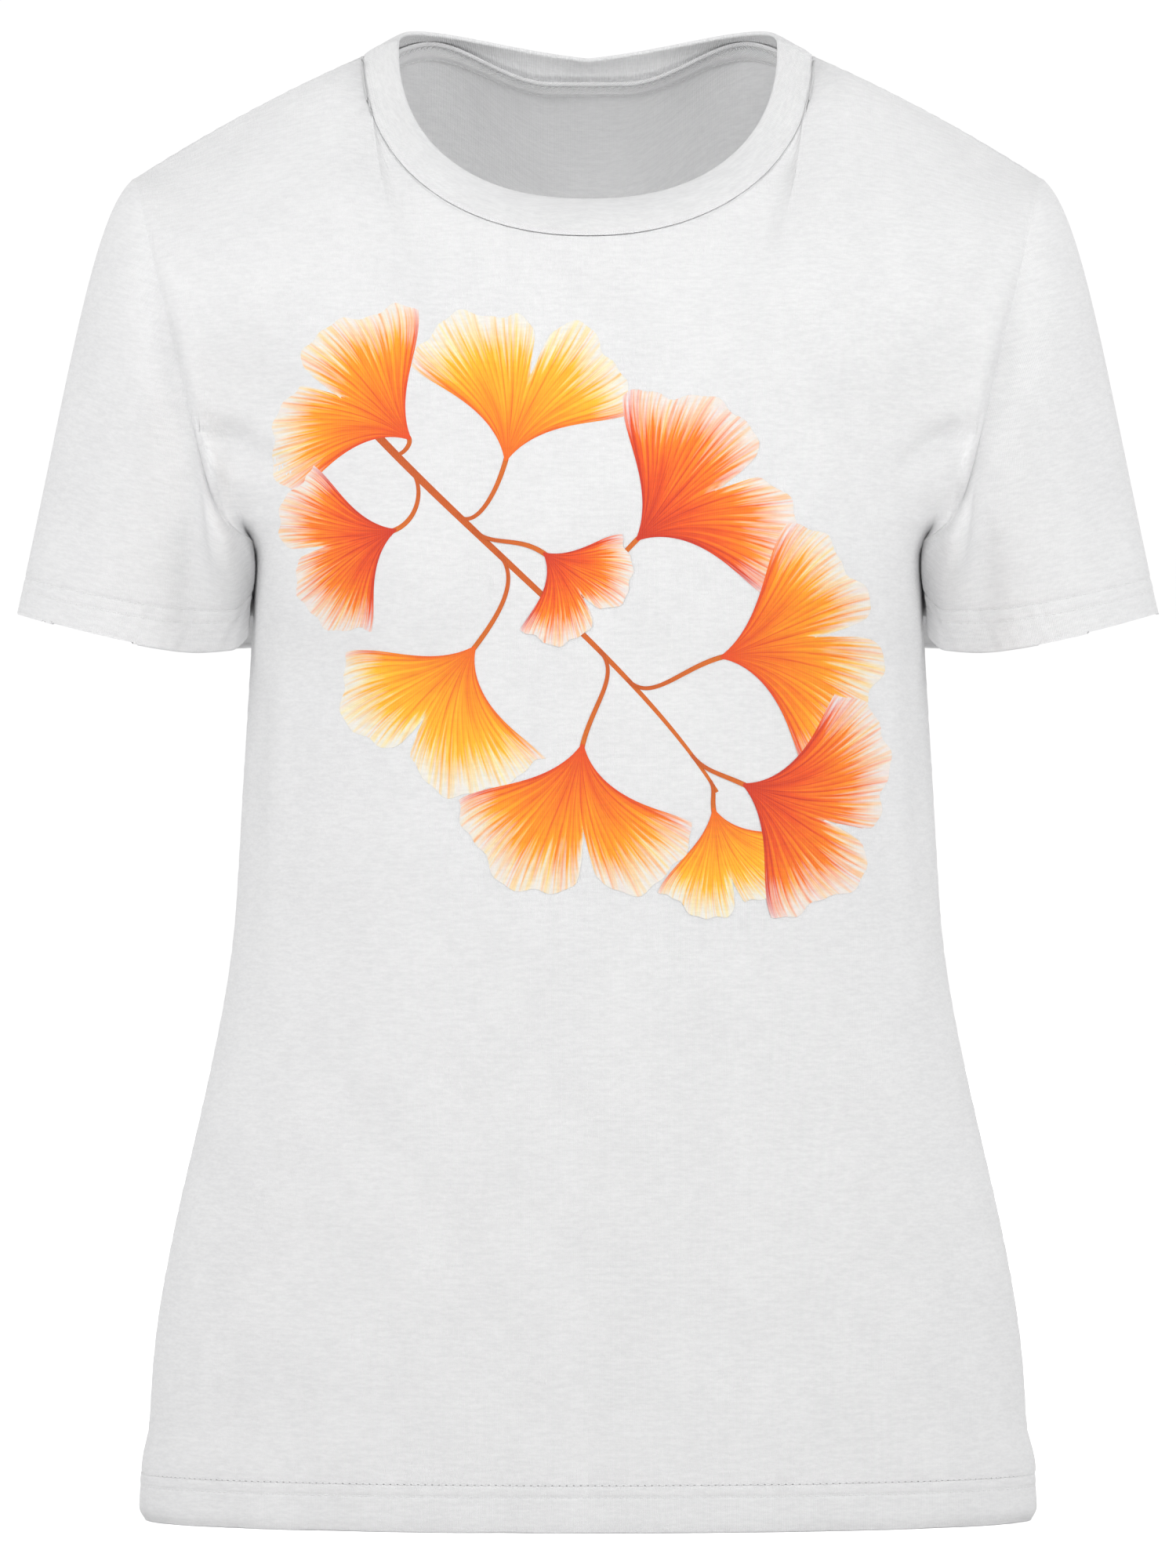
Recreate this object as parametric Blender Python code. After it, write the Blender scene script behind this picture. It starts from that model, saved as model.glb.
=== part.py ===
"""A women's short-sleeved crew-neck T-shirt of thin cotton jersey, filled out as a body fills it.

The shirt stands upright on its hem. X runs across the shoulders, the chest faces -Y and Z is up;
the floor is z = 0. Each sewn piece is one closed shell as thick as its layers of cloth.

The torso is a stack of half ellipses: at height z the cloth stands at
    x = W(z) sin(a),  y = -F(z) cos(a) at the front and +B(z) cos(a) at the back,
so the side seams, the armholes, the shoulder seams and the neckline are all curves on one form.
"""

import math

import bpy
import numpy as np

# --- Driving dimensions, metres -------------------------------------------------------------
CLOTH = 0.0012  # a panel's thickness
DOUBLED = 0.0020  # a turned hem or a folded neckband
SEAM_GAP = 0.0004  # between two sewn pieces

# Torso below the arms: half width W(z) = straight taper + a flare towards the hem.
ARMPIT_Z = 0.432
ARMPIT_HALF = 0.1462
SIDE_TAPER = 0.0587  # metres of half width per metre down
FLARE = 0.0251
FLARE_TOP_Z, FLARE_LOW_Z = 0.275, 0.060
HEM_STEP = 0.0024  # the doubled hem holds the cloth a little further out

# Depths of the chest and the back, each on its own side of the side seam.
HEM_DEPTH = 0.096
BUST_Z, BUST_DEPTH = 0.440, 0.116
FRONT_CREST_Z = 0.657  # where the chest's slope would close over the neck
BLADE_Z, BLADE_DEPTH = 0.480, 0.116
LUMBAR_Z, LUMBAR_DEPTH, LUMBAR_REACH = 0.270, 0.093, 0.130
BACK_CREST_Z = 0.662

# Shoulder line, from the neck point out to the shoulder point.
NECK_HALF, NECK_POINT_Z = 0.0995, 0.6478
SHOULDER_HALF = 0.200
SHOULDER_SLOPE, SHOULDER_ROUNDING = 0.43, 1.05

# Neckline seam and the open edge of the neckband.
FRONT_DROP, BACK_DROP = 0.0840, 0.0085
EDGE_HALF, EDGE_SIDE_Z = 0.0835, 0.6550
SEAM_POWER, EDGE_POWER = 2.15, 2.30  # how square the necklines are; 2 is an ellipse
EDGE_FRONT_DROP, EDGE_BACK_DROP, EDGE_BACK_PEAK = 0.0740, 0.0045, 0.0075
EDGE_LEAN_FRONT, EDGE_LEAN_BACK = 0.0070, 0.0125
BAND_CROWN = 0.0012  # how far the neckband rounds out between its edges

# Armhole and sleeve.
ARMHOLE_DEPTH = 0.060
ARMHOLE_BOTTOM_TURN = 7  # power that turns the seam in under the arm
OPENING_SPREAD = 0.07  # height over which the chest widens above the armpit
SLEEVE_CENTRE = (0.1985, 0.001)
SLEEVE_OUT, SLEEVE_IN, SLEEVE_DEEP = 0.0546, 0.0620, 0.0480  # half lengths of the opening
SLEEVE_SQUARE = 3.5  # power of the rounded corners beside the body; 2 is an ellipse
CUFF_LOW_Z, CUFF_LOW_AT = 0.3829, -0.5  # its lowest point, as a share of SLEEVE_OUT
CUFF_RISE, CUFF_BACK_RISE, CUFF_CORNER_RISE = 0.0085, 0.0030, 0.0080
SLEEVE_CLEARANCE = 0.0022  # from the body's side
CORNER_PULL, CUFF_PULL = 0.022, 0.110  # how the sleeve turns over the shoulder point
UNDERARM_PULL = 0.30  # the same under the arm, as a share of the length

# Hems, and how their lowest millimetres turn in; the neck tape.
HEM = 0.020
HEM_TUCK_HEIGHT, HEM_TUCK_SIDE, HEM_TUCK_FRONT = 0.007, 0.0034, 0.0008
TAPE_WIDTH, TAPE_DROP, TAPE_THICKNESS = 0.009, 0.0015, 0.0008

# Mesh steps.
COLUMNS, LOW_ROWS, HIGH_ROWS = 32, 9, 13  # of a panel, below and above the armpit
NECK_SHARE = 12 / COLUMNS  # of a panel's columns that end on the neckline
SLEEVE_ALONG = 8


# --- The form ---------------------------------------------------------------------------------
def smooth(t):
    """0 below 0, 1 above 1, and a smooth rise between."""
    t = np.clip(t, 0.0, 1.0)
    return t * t * (3.0 - 2.0 * t)


def squarer(wave, power):
    """A sine or cosine bent so that a pair of them draws a superellipse of this power."""
    return np.sign(wave) * np.abs(wave) ** (2.0 / power)


def shoulder_z(x):
    """Height of the shoulder seam at half width x."""
    d = x - NECK_HALF
    return NECK_POINT_Z - SHOULDER_SLOPE * d - SHOULDER_ROUNDING * d * d


SHOULDER_Z = float(shoulder_z(SHOULDER_HALF))
ARMHOLE_MID_Z = (SHOULDER_Z + ARMPIT_Z) / 2
ARMHOLE_HALF_Z = (SHOULDER_Z - ARMPIT_Z) / 2


def armhole_half(z):
    """Half width of the armhole seam at height z, from the armpit to the shoulder point."""
    t = np.clip((SHOULDER_Z - z) / (SHOULDER_Z - ARMPIT_Z), 0.0, 1.0)
    turn = 0.74 * t + 0.26 * t**ARMHOLE_BOTTOM_TURN
    return SHOULDER_HALF - (SHOULDER_HALF - ARMPIT_HALF) * turn


def armhole_depth(z):
    """How far the armhole seam stands in front of or behind the shoulder seam at height z."""
    c = np.clip((z - ARMHOLE_MID_Z) / ARMHOLE_HALF_Z, -1.0, 1.0)
    return ARMHOLE_DEPTH * np.sqrt(1.0 - c * c)


def front_depth(z):
    """F(z): straight from the hem to the bust, then the slope of the upper chest."""
    low = HEM_DEPTH + (BUST_DEPTH - HEM_DEPTH) * smooth(z / BUST_Z)
    v = np.clip((z - BUST_Z) / (FRONT_CREST_Z - BUST_Z), 0.0, 1.0)
    return np.where(z < BUST_Z, low, BUST_DEPTH * (1.0 - v**1.7) ** 0.62)


def back_depth(z):
    """B(z): hollow at the waist, fullest at the shoulder blades, rounded to the neck."""
    hollow = np.exp(-(((z - LUMBAR_Z) / LUMBAR_REACH) ** 2))
    straight = HEM_DEPTH + (BLADE_DEPTH - HEM_DEPTH) * smooth(z / BLADE_Z)
    low = straight - (straight - LUMBAR_DEPTH) * hollow * smooth((BLADE_Z - z) / 0.1)
    v = np.clip((z - BLADE_Z) / (BACK_CREST_Z - BLADE_Z), 0.0, 1.0)
    return np.where(z < BLADE_Z, low, BLADE_DEPTH * np.sqrt(1.0 - v**3))


def side_half(z):
    """Half width at the side seam below the arms, as if it ran straight on above the armpit."""
    side = ARMPIT_HALF + SIDE_TAPER * (ARMPIT_Z - z)
    side = side + FLARE * smooth((FLARE_TOP_Z - z) / (FLARE_TOP_Z - FLARE_LOW_Z))
    return side + HEM_STEP * smooth((HEM * 2.2 - z) / HEM)


def half_width(z, depth):
    """W(z) of the whole form, given the chest's or the back's depth at z.

    Beside the arms the panel ends at the armhole, so W is the half width of the ellipse that
    passes through the armhole seam. Above the shoulder point it shrinks along the shoulder.
    """
    share = np.clip(armhole_depth(z) / np.maximum(depth, 1e-6), 0.0, 0.999)
    beside_arm = armhole_half(z) / np.sqrt(1.0 - share * share)
    xs = np.linspace(NECK_HALF - 0.02, SHOULDER_HALF, 200)
    along_shoulder = np.interp(-z, -shoulder_z(xs), xs)
    above = np.where(z < SHOULDER_Z, beside_arm, along_shoulder)
    return np.where(z < ARMPIT_Z, side_half(z), above)


def panel_half(z):
    """Half width of a panel at height z: to the side seam, the armhole or the shoulder seam."""
    beside_arm = (z >= ARMPIT_Z) & (z < SHOULDER_Z)
    return np.where(beside_arm, armhole_half(z), half_width(z, np.inf))


def on_form(x, z, back=False):
    """The point of the chest or the back at front-view position (x, z).

    W opens sharply at the armpit. Only the cloth next to the seam follows that: further in, the
    opening is spread over some centimetres of height, so that no crease crosses the chest.
    """
    profile = back_depth if back else front_depth
    depth = profile(z)
    width = half_width(z, depth)
    steps = (np.arange(12) + 0.5) / 12
    shares = np.sin(math.pi * steps) / np.sin(math.pi * steps).sum()
    lower = z - OPENING_SPREAD * steps.reshape(-1, *[1] * np.ndim(z))
    opening = half_width(lower, profile(lower)) - side_half(lower)
    spread = side_half(z) + np.tensordot(shares, opening, axes=1)
    inwards = 1.0 - np.clip(np.abs(x) / panel_half(z), 0.0, 1.0) ** 8
    width = width + (spread - width) * inwards * smooth((SHOULDER_Z - 0.04 - z) / 0.06)
    share = np.clip(x / width, -1.0, 1.0)
    y = np.maximum(depth * np.sqrt(1.0 - share * share), SEAM_GAP / 2)
    return np.stack([x, y if back else -y, z], axis=-1)


def top_of_column(u, back):
    """Where column u of a panel ends: on the neckline near the middle, else on the shoulder."""
    r = np.clip((np.abs(u) - NECK_SHARE) / (1.0 - NECK_SHARE), 0.0, 1.0)
    shoulder_x = NECK_HALF + (SHOULDER_HALF - NECK_HALF) * r
    a = np.clip(np.abs(u) / NECK_SHARE, 0.0, 1.0) * math.pi / 2
    drop = BACK_DROP if back else FRONT_DROP
    on_neck = np.abs(u) < NECK_SHARE
    x = np.where(on_neck, NECK_HALF * squarer(np.sin(a), SEAM_POWER), shoulder_x)
    neck_z = NECK_POINT_Z - drop * squarer(np.cos(a), SEAM_POWER)
    z = np.where(on_neck, neck_z, shoulder_z(shoulder_x))
    return np.sign(u) * x, z


def panel_point(u, v, back=False):
    """A panel's point: u runs from seam to seam (-1 to 1), v from the hem seam (0) through the
    armpit's level (1) to the shoulder seam and the neckline (2)."""
    x_top, z_top = top_of_column(u, back)
    share = np.sin(u * math.pi / 2)
    rise = (1.0 - np.cos(np.clip(v - 1.0, 0.0, 1.0) * math.pi)) / 2
    z = np.where(v < 1.0, HEM + (ARMPIT_Z - HEM) * v, ARMPIT_Z + (z_top - ARMPIT_Z) * rise)
    depth = back_depth(z) if back else front_depth(z)
    low_x = share * half_width(z, depth)
    high_x = share * armhole_half(z)
    high_x = high_x + (x_top - share * armhole_half(z_top)) * rise**2
    return on_form(np.where(v < 1.0, low_x, high_x), z, back)


def hem_point(angle, z):
    """The outside of the turned hem: the form, with its lowest millimetres turned in."""
    tuck = (1.0 - np.clip(z / HEM_TUCK_HEIGHT, 0.0, 1.0)) ** 2
    c, s = np.cos(angle), np.sin(angle)
    front = front_depth(z)
    depth = np.where(c > 0, front, back_depth(z))
    x = (half_width(z, front) - HEM_TUCK_SIDE * tuck) * s
    return np.stack([x, -(depth - HEM_TUCK_FRONT * tuck) * c, z], axis=-1)


def neck_seam(b):
    """The neckline seam, b = 0 at the middle of the chest and pi at the middle of the back."""
    x, c = NECK_HALF * squarer(np.sin(b), SEAM_POWER), squarer(np.cos(b), SEAM_POWER)
    z = NECK_POINT_Z - np.where(c > 0, FRONT_DROP, BACK_DROP) * np.abs(c)
    return np.where((c > 0)[..., None], on_form(x, z), on_form(x, z, back=True))


def neck_edge(b):
    """The open edge of the neckband; at the back it peaks on either side of the nape."""
    c = squarer(np.cos(b), EDGE_POWER)
    past_side = np.clip(np.abs(np.mod(b + math.pi, 2 * math.pi) - math.pi) * 2 / math.pi - 1, 0, 1)
    peak = EDGE_BACK_PEAK * np.sin(math.pi * past_side**0.75)
    z = EDGE_SIDE_Z - np.where(c > 0, EDGE_FRONT_DROP * c, EDGE_BACK_DROP * past_side - peak)
    y = neck_seam(b)[..., 1] + np.where(c > 0, EDGE_LEAN_FRONT, EDGE_LEAN_BACK) * c
    return np.stack([EDGE_HALF * squarer(np.sin(b), EDGE_POWER), y, z], axis=-1)


def band_point(b, t):
    """The neckband's outside, from just above its seam (t = 0) to its open edge (t = 1)."""
    low, high = neck_seam(b), neck_edge(b)
    run = high - low
    length = np.linalg.norm(run, axis=-1, keepdims=True)
    start = SEAM_GAP / length
    t = np.asarray(t)[..., None]
    point = low + run * (start + (1.0 - start) * t)
    out = np.stack([np.sin(b), -np.cos(b), 0.8 + 0.0 * b], axis=-1)
    return point + out * BAND_CROWN * 4 * t * (1.0 - t)


def armhole_point(p):
    """The armhole seam of the +X side, p = 0 at the shoulder point, pi / 2 at the front."""
    z = ARMHOLE_MID_Z + ARMHOLE_HALF_Z * np.cos(p)
    return np.stack([armhole_half(z), -armhole_depth(z) * np.sign(np.sin(p)), z], axis=-1)


def cuff_point(p):
    """The sleeve's open edge, with p as in armhole_point."""
    c, d = np.cos(p), np.sin(p)
    reach = np.where(c > 0, SLEEVE_OUT, SLEEVE_IN)
    power = 2.0 + (SLEEVE_SQUARE - 2.0) * smooth(-2.0 * c)
    radius = (np.abs(c / reach) ** power + np.abs(d / SLEEVE_DEEP) ** power) ** (-1.0 / power)
    across = radius * c / SLEEVE_OUT
    z = CUFF_LOW_Z + CUFF_RISE * np.abs(across - CUFF_LOW_AT) ** 1.5
    z = z + CUFF_BACK_RISE * np.maximum(-d, 0.0) + CUFF_CORNER_RISE * smooth(-4.0 * across - 3.2)
    return np.stack([SLEEVE_CENTRE[0] + radius * c, SLEEVE_CENTRE[1] - radius * d, z], axis=-1)


def clear_of_body(points):
    """Moves what would touch the torso's side out to a small clearance from it."""
    x, y, z = points[..., 0], points[..., 1], points[..., 2]
    level = np.minimum(z, ARMPIT_Z - 1e-4)
    depth = np.where(y < 0, front_depth(level), back_depth(level)) + SLEEVE_CLEARANCE
    width = half_width(level, depth) + SLEEVE_CLEARANCE
    inside = np.sqrt((x / width) ** 2 + (y / depth) ** 2)
    beside = 1.0 - smooth((z - ARMPIT_Z) / 0.03)
    factor = 1.0 + (np.maximum(1.0 / inside, 1.0) - 1.0) * beside
    return np.stack([x * factor, y * factor, z], axis=-1)


def sleeve_point(p, t):
    """The +X sleeve's outside, from the armhole (t = 0) to the open edge (t = 1)."""
    p0, p3 = armhole_point(p), cuff_point(p)
    length = np.linalg.norm(p3 - p0, axis=-1, keepdims=True)
    top = ((1.0 + np.cos(p)) / 2)[..., None] ** 2
    over_shoulder = np.array([0.841, 0.0, -0.541])
    under_arm = np.array([0.42, 0.0, -0.91])
    leave = under_arm + (over_shoulder - under_arm) * top
    arrive = np.array([-0.10, 0.0, 0.995]) + np.array([-0.1164, 0.0, -0.019]) * top
    p1 = p0 + leave * (UNDERARM_PULL * length + (CORNER_PULL - UNDERARM_PULL * length) * top)
    p2 = p3 + arrive * (UNDERARM_PULL * length + (CUFF_PULL - UNDERARM_PULL * length) * top)
    t = np.asarray(t)[..., None]
    s = 1.0 - t
    curve = s**3 * p0 + 3 * s * s * t * p1 + 3 * s * t * t * p2 + t**3 * p3
    return clear_of_body(curve)


def sleeve_hem_start(p):
    """t where the sleeve's turned hem begins, one hem's depth above the open edge."""
    ts = np.linspace(0.0, 1.0, 61)
    line = sleeve_point(p[:, None], ts[None, :] + 0.0 * p[:, None])
    steps = np.linalg.norm(np.diff(line, axis=1), axis=2)
    to_edge = np.cumsum(steps[:, ::-1], axis=1)[:, ::-1]
    return np.array([np.interp(-HEM, -row, ts[:-1]) for row in to_edge])


# --- Solids -----------------------------------------------------------------------------------
def cloth(name, colour, roughness=0.85):
    """A matt fabric material."""
    material = bpy.data.materials.new(name)
    material.use_nodes = True
    shader = material.node_tree.nodes["Principled BSDF"]
    shader.inputs["Base Color"].default_value = (*colour, 1.0)
    shader.inputs["Roughness"].default_value = roughness
    shader.inputs["Metallic"].default_value = 0.0
    return material


def inner_wall(grid, thickness, ring, flip):
    """The grid moved inwards by the thickness; along a seam in the plane y = 0 it stays there."""
    if ring:
        along = np.roll(grid, -1, axis=1) - np.roll(grid, 1, axis=1)
    else:
        along = np.gradient(grid, axis=1)
    out = np.cross(along, np.gradient(grid, axis=0)) * (-1.0 if flip else 1.0)
    on_seam = np.abs(grid[..., 1]) < SEAM_GAP
    out[..., 1] = np.where(on_seam, 0.0, out[..., 1])
    out /= np.linalg.norm(out, axis=-1, keepdims=True)
    return grid - out * thickness


def shell(name, grid, thickness, material, ring=False, flip=False, level=False):
    """One closed object: the surface through grid[i, j] and its inner wall, which keeps each
    point's height where level is set, so that both edges lie flat."""
    rows, columns = grid.shape[:2]
    inner = inner_wall(grid, thickness, ring, flip)
    if level:
        inner[..., 2] = grid[..., 2]
    count = rows * columns
    across = columns if ring else columns - 1
    faces = []

    def quad(a, b, c, d):
        faces.append((d, c, b, a) if flip else (a, b, c, d))

    for i in range(rows - 1):
        for j in range(across):
            a, b = i * columns + j, i * columns + (j + 1) % columns
            c, d = b + columns, a + columns
            quad(a, b, c, d)
            quad(d + count, c + count, b + count, a + count)
    for j in range(across):
        k = (j + 1) % columns
        top = (rows - 1) * columns
        quad(k, j, j + count, k + count)
        quad(top + j, top + k, top + k + count, top + j + count)
    if not ring:
        for i in range(rows - 1):
            a, d = i * columns, (i + 1) * columns
            quad(a, d, d + count, a + count)
            a, d = a + columns - 1, d + columns - 1
            quad(d, a, a + count, d + count)
    mesh = bpy.data.meshes.new(name)
    points = np.concatenate([grid.reshape(-1, 3), inner.reshape(-1, 3)])
    mesh.from_pydata(points.tolist(), [], faces)
    mesh.materials.append(material)
    mesh.shade_smooth()
    mesh.set_sharp_from_angle(angle=math.radians(50))
    obj = bpy.data.objects.new(name, mesh)
    bpy.context.scene.collection.objects.link(obj)
    return obj


def panel_rows():
    """v of a panel's rows: even below the arms, then up to the shoulder."""
    return np.concatenate([
        np.linspace(2 * SEAM_GAP / ARMPIT_Z, 1.0, LOW_ROWS, endpoint=False),
        np.linspace(1.0, 2.0, HIGH_ROWS + 1),
    ])


def add_panel(name, back, material):
    """The front or the back, from the hem seam to the shoulders."""
    u, v = np.meshgrid(np.linspace(-1.0, 1.0, COLUMNS + 1), panel_rows())
    shell(name, panel_point(u, v, back), CLOTH, material, flip=back)


def add_bottom_hem(name, material):
    """The turned hem that runs round the whole shirt and that the shirt stands on."""
    angle = np.linspace(0.0, 2 * math.pi, 2 * COLUMNS, endpoint=False)
    a, z = np.meshgrid(angle, np.array([0.0, HEM_TUCK_HEIGHT, HEM]))
    shell(name, hem_point(a, z), DOUBLED, material, ring=True, level=True)


def mirrored(grid, side):
    """The grid of the +X side, or its mirror image."""
    return grid * np.array([side, 1.0, 1.0])


def add_sleeve(name, side, material):
    """A sleeve, side = 1 for +X or -1 for -X, and its turned hem."""
    p = np.linspace(0.0, 2 * math.pi, 2 * HIGH_ROWS, endpoint=False)
    first, last = 0.012, sleeve_hem_start(p)
    rows = np.linspace(0.0, 1.0, SLEEVE_ALONG + 1)[:, None]
    body = sleeve_point(np.broadcast_to(p, (len(rows), len(p))), first + (last - first) * rows)
    shell(name, mirrored(body, side), CLOTH, material, ring=True, flip=side < 0)
    start = last + 1.6 * SEAM_GAP / HEM * (1.0 - last)
    rows = np.linspace(0.0, 1.0, 3)[:, None]
    hem = sleeve_point(np.broadcast_to(p, (len(rows), len(p))), start + (1.0 - start) * rows)
    shell(name + "_hem", mirrored(hem, side), DOUBLED, material, ring=True, flip=side < 0)


def add_neckband(name, material):
    """The folded band round the neck."""
    b = np.linspace(0.0, 2 * math.pi, 24, endpoint=False)
    bb, tt = np.meshgrid(b, np.linspace(0.0, 1.0, 4))
    shell(name, band_point(bb, tt), DOUBLED, material, ring=True)


def add_neck_tape(name, material):
    """The tape that covers the neck seam inside the back, from shoulder to shoulder."""
    u, v = np.meshgrid(np.linspace(-NECK_SHARE, NECK_SHARE, 13) * 0.92, np.array([0.0, 1.0]))
    x_top, z_top = top_of_column(u, back=True)
    z = z_top - TAPE_DROP - TAPE_WIDTH * (1.0 - v)
    outer = on_form(x_top, z, back=True)
    outer = inner_wall(outer, CLOTH + 2.5 * SEAM_GAP, False, True)
    shell(name, outer, TAPE_THICKNESS, material, flip=True)


def clear_scene():
    """Removes every object of the open scene."""
    for obj in list(bpy.data.objects):
        bpy.data.objects.remove(obj, do_unlink=True)


def build():
    """Builds the whole shirt."""
    clear_scene()
    jersey = cloth("white_jersey", (0.80, 0.80, 0.80))
    rib = cloth("white_rib", (0.78, 0.78, 0.78))
    add_panel("front_panel", False, jersey)
    add_panel("back_panel", True, jersey)
    add_bottom_hem("bottom_hem", jersey)
    add_sleeve("left_sleeve", 1.0, jersey)
    add_sleeve("right_sleeve", -1.0, jersey)
    add_neckband("neckband", rib)
    add_neck_tape("neck_tape", jersey)


build()
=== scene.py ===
"""The dressed T-shirt: thin white jersey sewn in panels, a folded rib neckband, turned and stitched
hems, a taped back neck and a printed spray of fan leaves on the chest.

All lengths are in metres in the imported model's frame: X across the shoulders, -Y out of the chest,
Z up from the hem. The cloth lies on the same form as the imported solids, with its own thickness,
soft folds, rolled seams, seam allowances and thread.
"""

import logging
import math
from collections.abc import Sequence
from dataclasses import dataclass
from enum import Enum

import bpy
import numpy as np
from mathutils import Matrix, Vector
from mathutils.bvhtree import BVHTree


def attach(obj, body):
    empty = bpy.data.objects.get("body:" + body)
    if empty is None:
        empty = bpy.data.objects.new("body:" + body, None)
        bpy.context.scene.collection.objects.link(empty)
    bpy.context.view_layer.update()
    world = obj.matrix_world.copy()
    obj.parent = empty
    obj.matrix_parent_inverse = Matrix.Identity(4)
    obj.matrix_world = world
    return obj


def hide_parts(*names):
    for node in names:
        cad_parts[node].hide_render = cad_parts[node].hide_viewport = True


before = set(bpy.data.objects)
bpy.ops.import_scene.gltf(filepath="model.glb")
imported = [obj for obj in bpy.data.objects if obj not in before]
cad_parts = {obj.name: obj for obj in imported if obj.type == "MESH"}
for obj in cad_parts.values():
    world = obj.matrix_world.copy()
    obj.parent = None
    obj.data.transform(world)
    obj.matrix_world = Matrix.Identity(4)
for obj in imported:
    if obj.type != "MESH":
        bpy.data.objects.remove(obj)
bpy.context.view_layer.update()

Floats = np.ndarray
Colour = tuple[float, float, float]
Point = tuple[float, float]
Place = tuple[float, float, float]
Lengths = tuple[float, ...]
Pair = tuple[Floats, Floats]
Node = bpy.types.Node
Socket = bpy.types.NodeSocket
NodeTree = bpy.types.NodeTree
Material = bpy.types.Material
Object = bpy.types.Object

LOG = logging.getLogger("shirt")
ROOT = "root"
TAU = 2.0 * math.pi
SHARP_ANGLE = math.radians(65)
FOLD_STEPS = 9
CLOTH_SPECULAR = 0.25
WHITE = (1.0, 1.0, 1.0, 1.0)


# --- Small mathematics ---
def clamped(t: Floats) -> Floats:
    """The values kept between 0 and 1."""
    return np.clip(t, 0.0, 1.0)


def smooth(t: Floats) -> Floats:
    """0 below 0, 1 above 1, and a smooth rise between."""
    t = clamped(t)
    return t * t * (3.0 - 2.0 * t)


def near_to(distance: Floats, width: float) -> Floats:
    """1 at no distance, falling to 0 within a few widths."""
    return np.exp(-((distance / width) ** 2))


def stacked(*parts: Floats) -> Floats:
    """The parts side by side along a new last axis."""
    return np.stack(parts, axis=-1)


def squarer(wave: Floats, power: float) -> Floats:
    """A sine or cosine bent so that a pair of them draws a superellipse of this power."""
    return np.sign(wave) * np.abs(wave) ** (2.0 / power)


def unit(vectors: Floats) -> Floats:
    """The vectors at length 1."""
    return vectors / np.maximum(np.linalg.norm(vectors, axis=-1, keepdims=True), 1e-12)


def ripple(s: Floats, lengths: Lengths, seed: int) -> Floats:
    """A smooth irregular wave along s.

    Args:
        s: distance along the cloth.
        lengths: wavelengths of the sines that are added.
        seed: picks their phases.

    Returns:
        Values of about -1 to 1.
    """
    phases = np.random.default_rng(seed).uniform(0.0, TAU, len(lengths))
    waves = [np.sin(TAU * s / length + phase) for length, phase in zip(lengths, phases)]
    return sum(waves) / math.sqrt(len(lengths))


def arcs(grid: Floats, axis: int) -> Floats:
    """Distance along the grid's rows (axis 1) or columns (axis 0) from their first point."""
    steps = np.linalg.norm(np.diff(grid, axis=axis), axis=-1)
    start = np.zeros_like(np.take(steps, [0], axis=axis))
    return np.concatenate([start, np.cumsum(steps, axis=axis)], axis=axis)


def lengths_of(path: Floats) -> Floats:
    """Distance of each point of a path from its first point."""
    return arcs(path[None], axis=1)[0]


def normals_of(grid: Floats, ring: bool, flip: bool) -> Floats:
    """Outward unit normals of a grid of points.

    Args:
        grid: rows x columns x 3 points.
        ring: whether each row closes on itself.
        flip: whether the rows run clockwise as seen from outside.

    Returns:
        One normal for each point.
    """
    if ring:
        along = np.roll(grid, -1, axis=1) - np.roll(grid, 1, axis=1)
    else:
        along = np.gradient(grid, axis=1)
    return unit(np.cross(along, np.gradient(grid, axis=0)) * (-1.0 if flip else 1.0))


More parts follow.
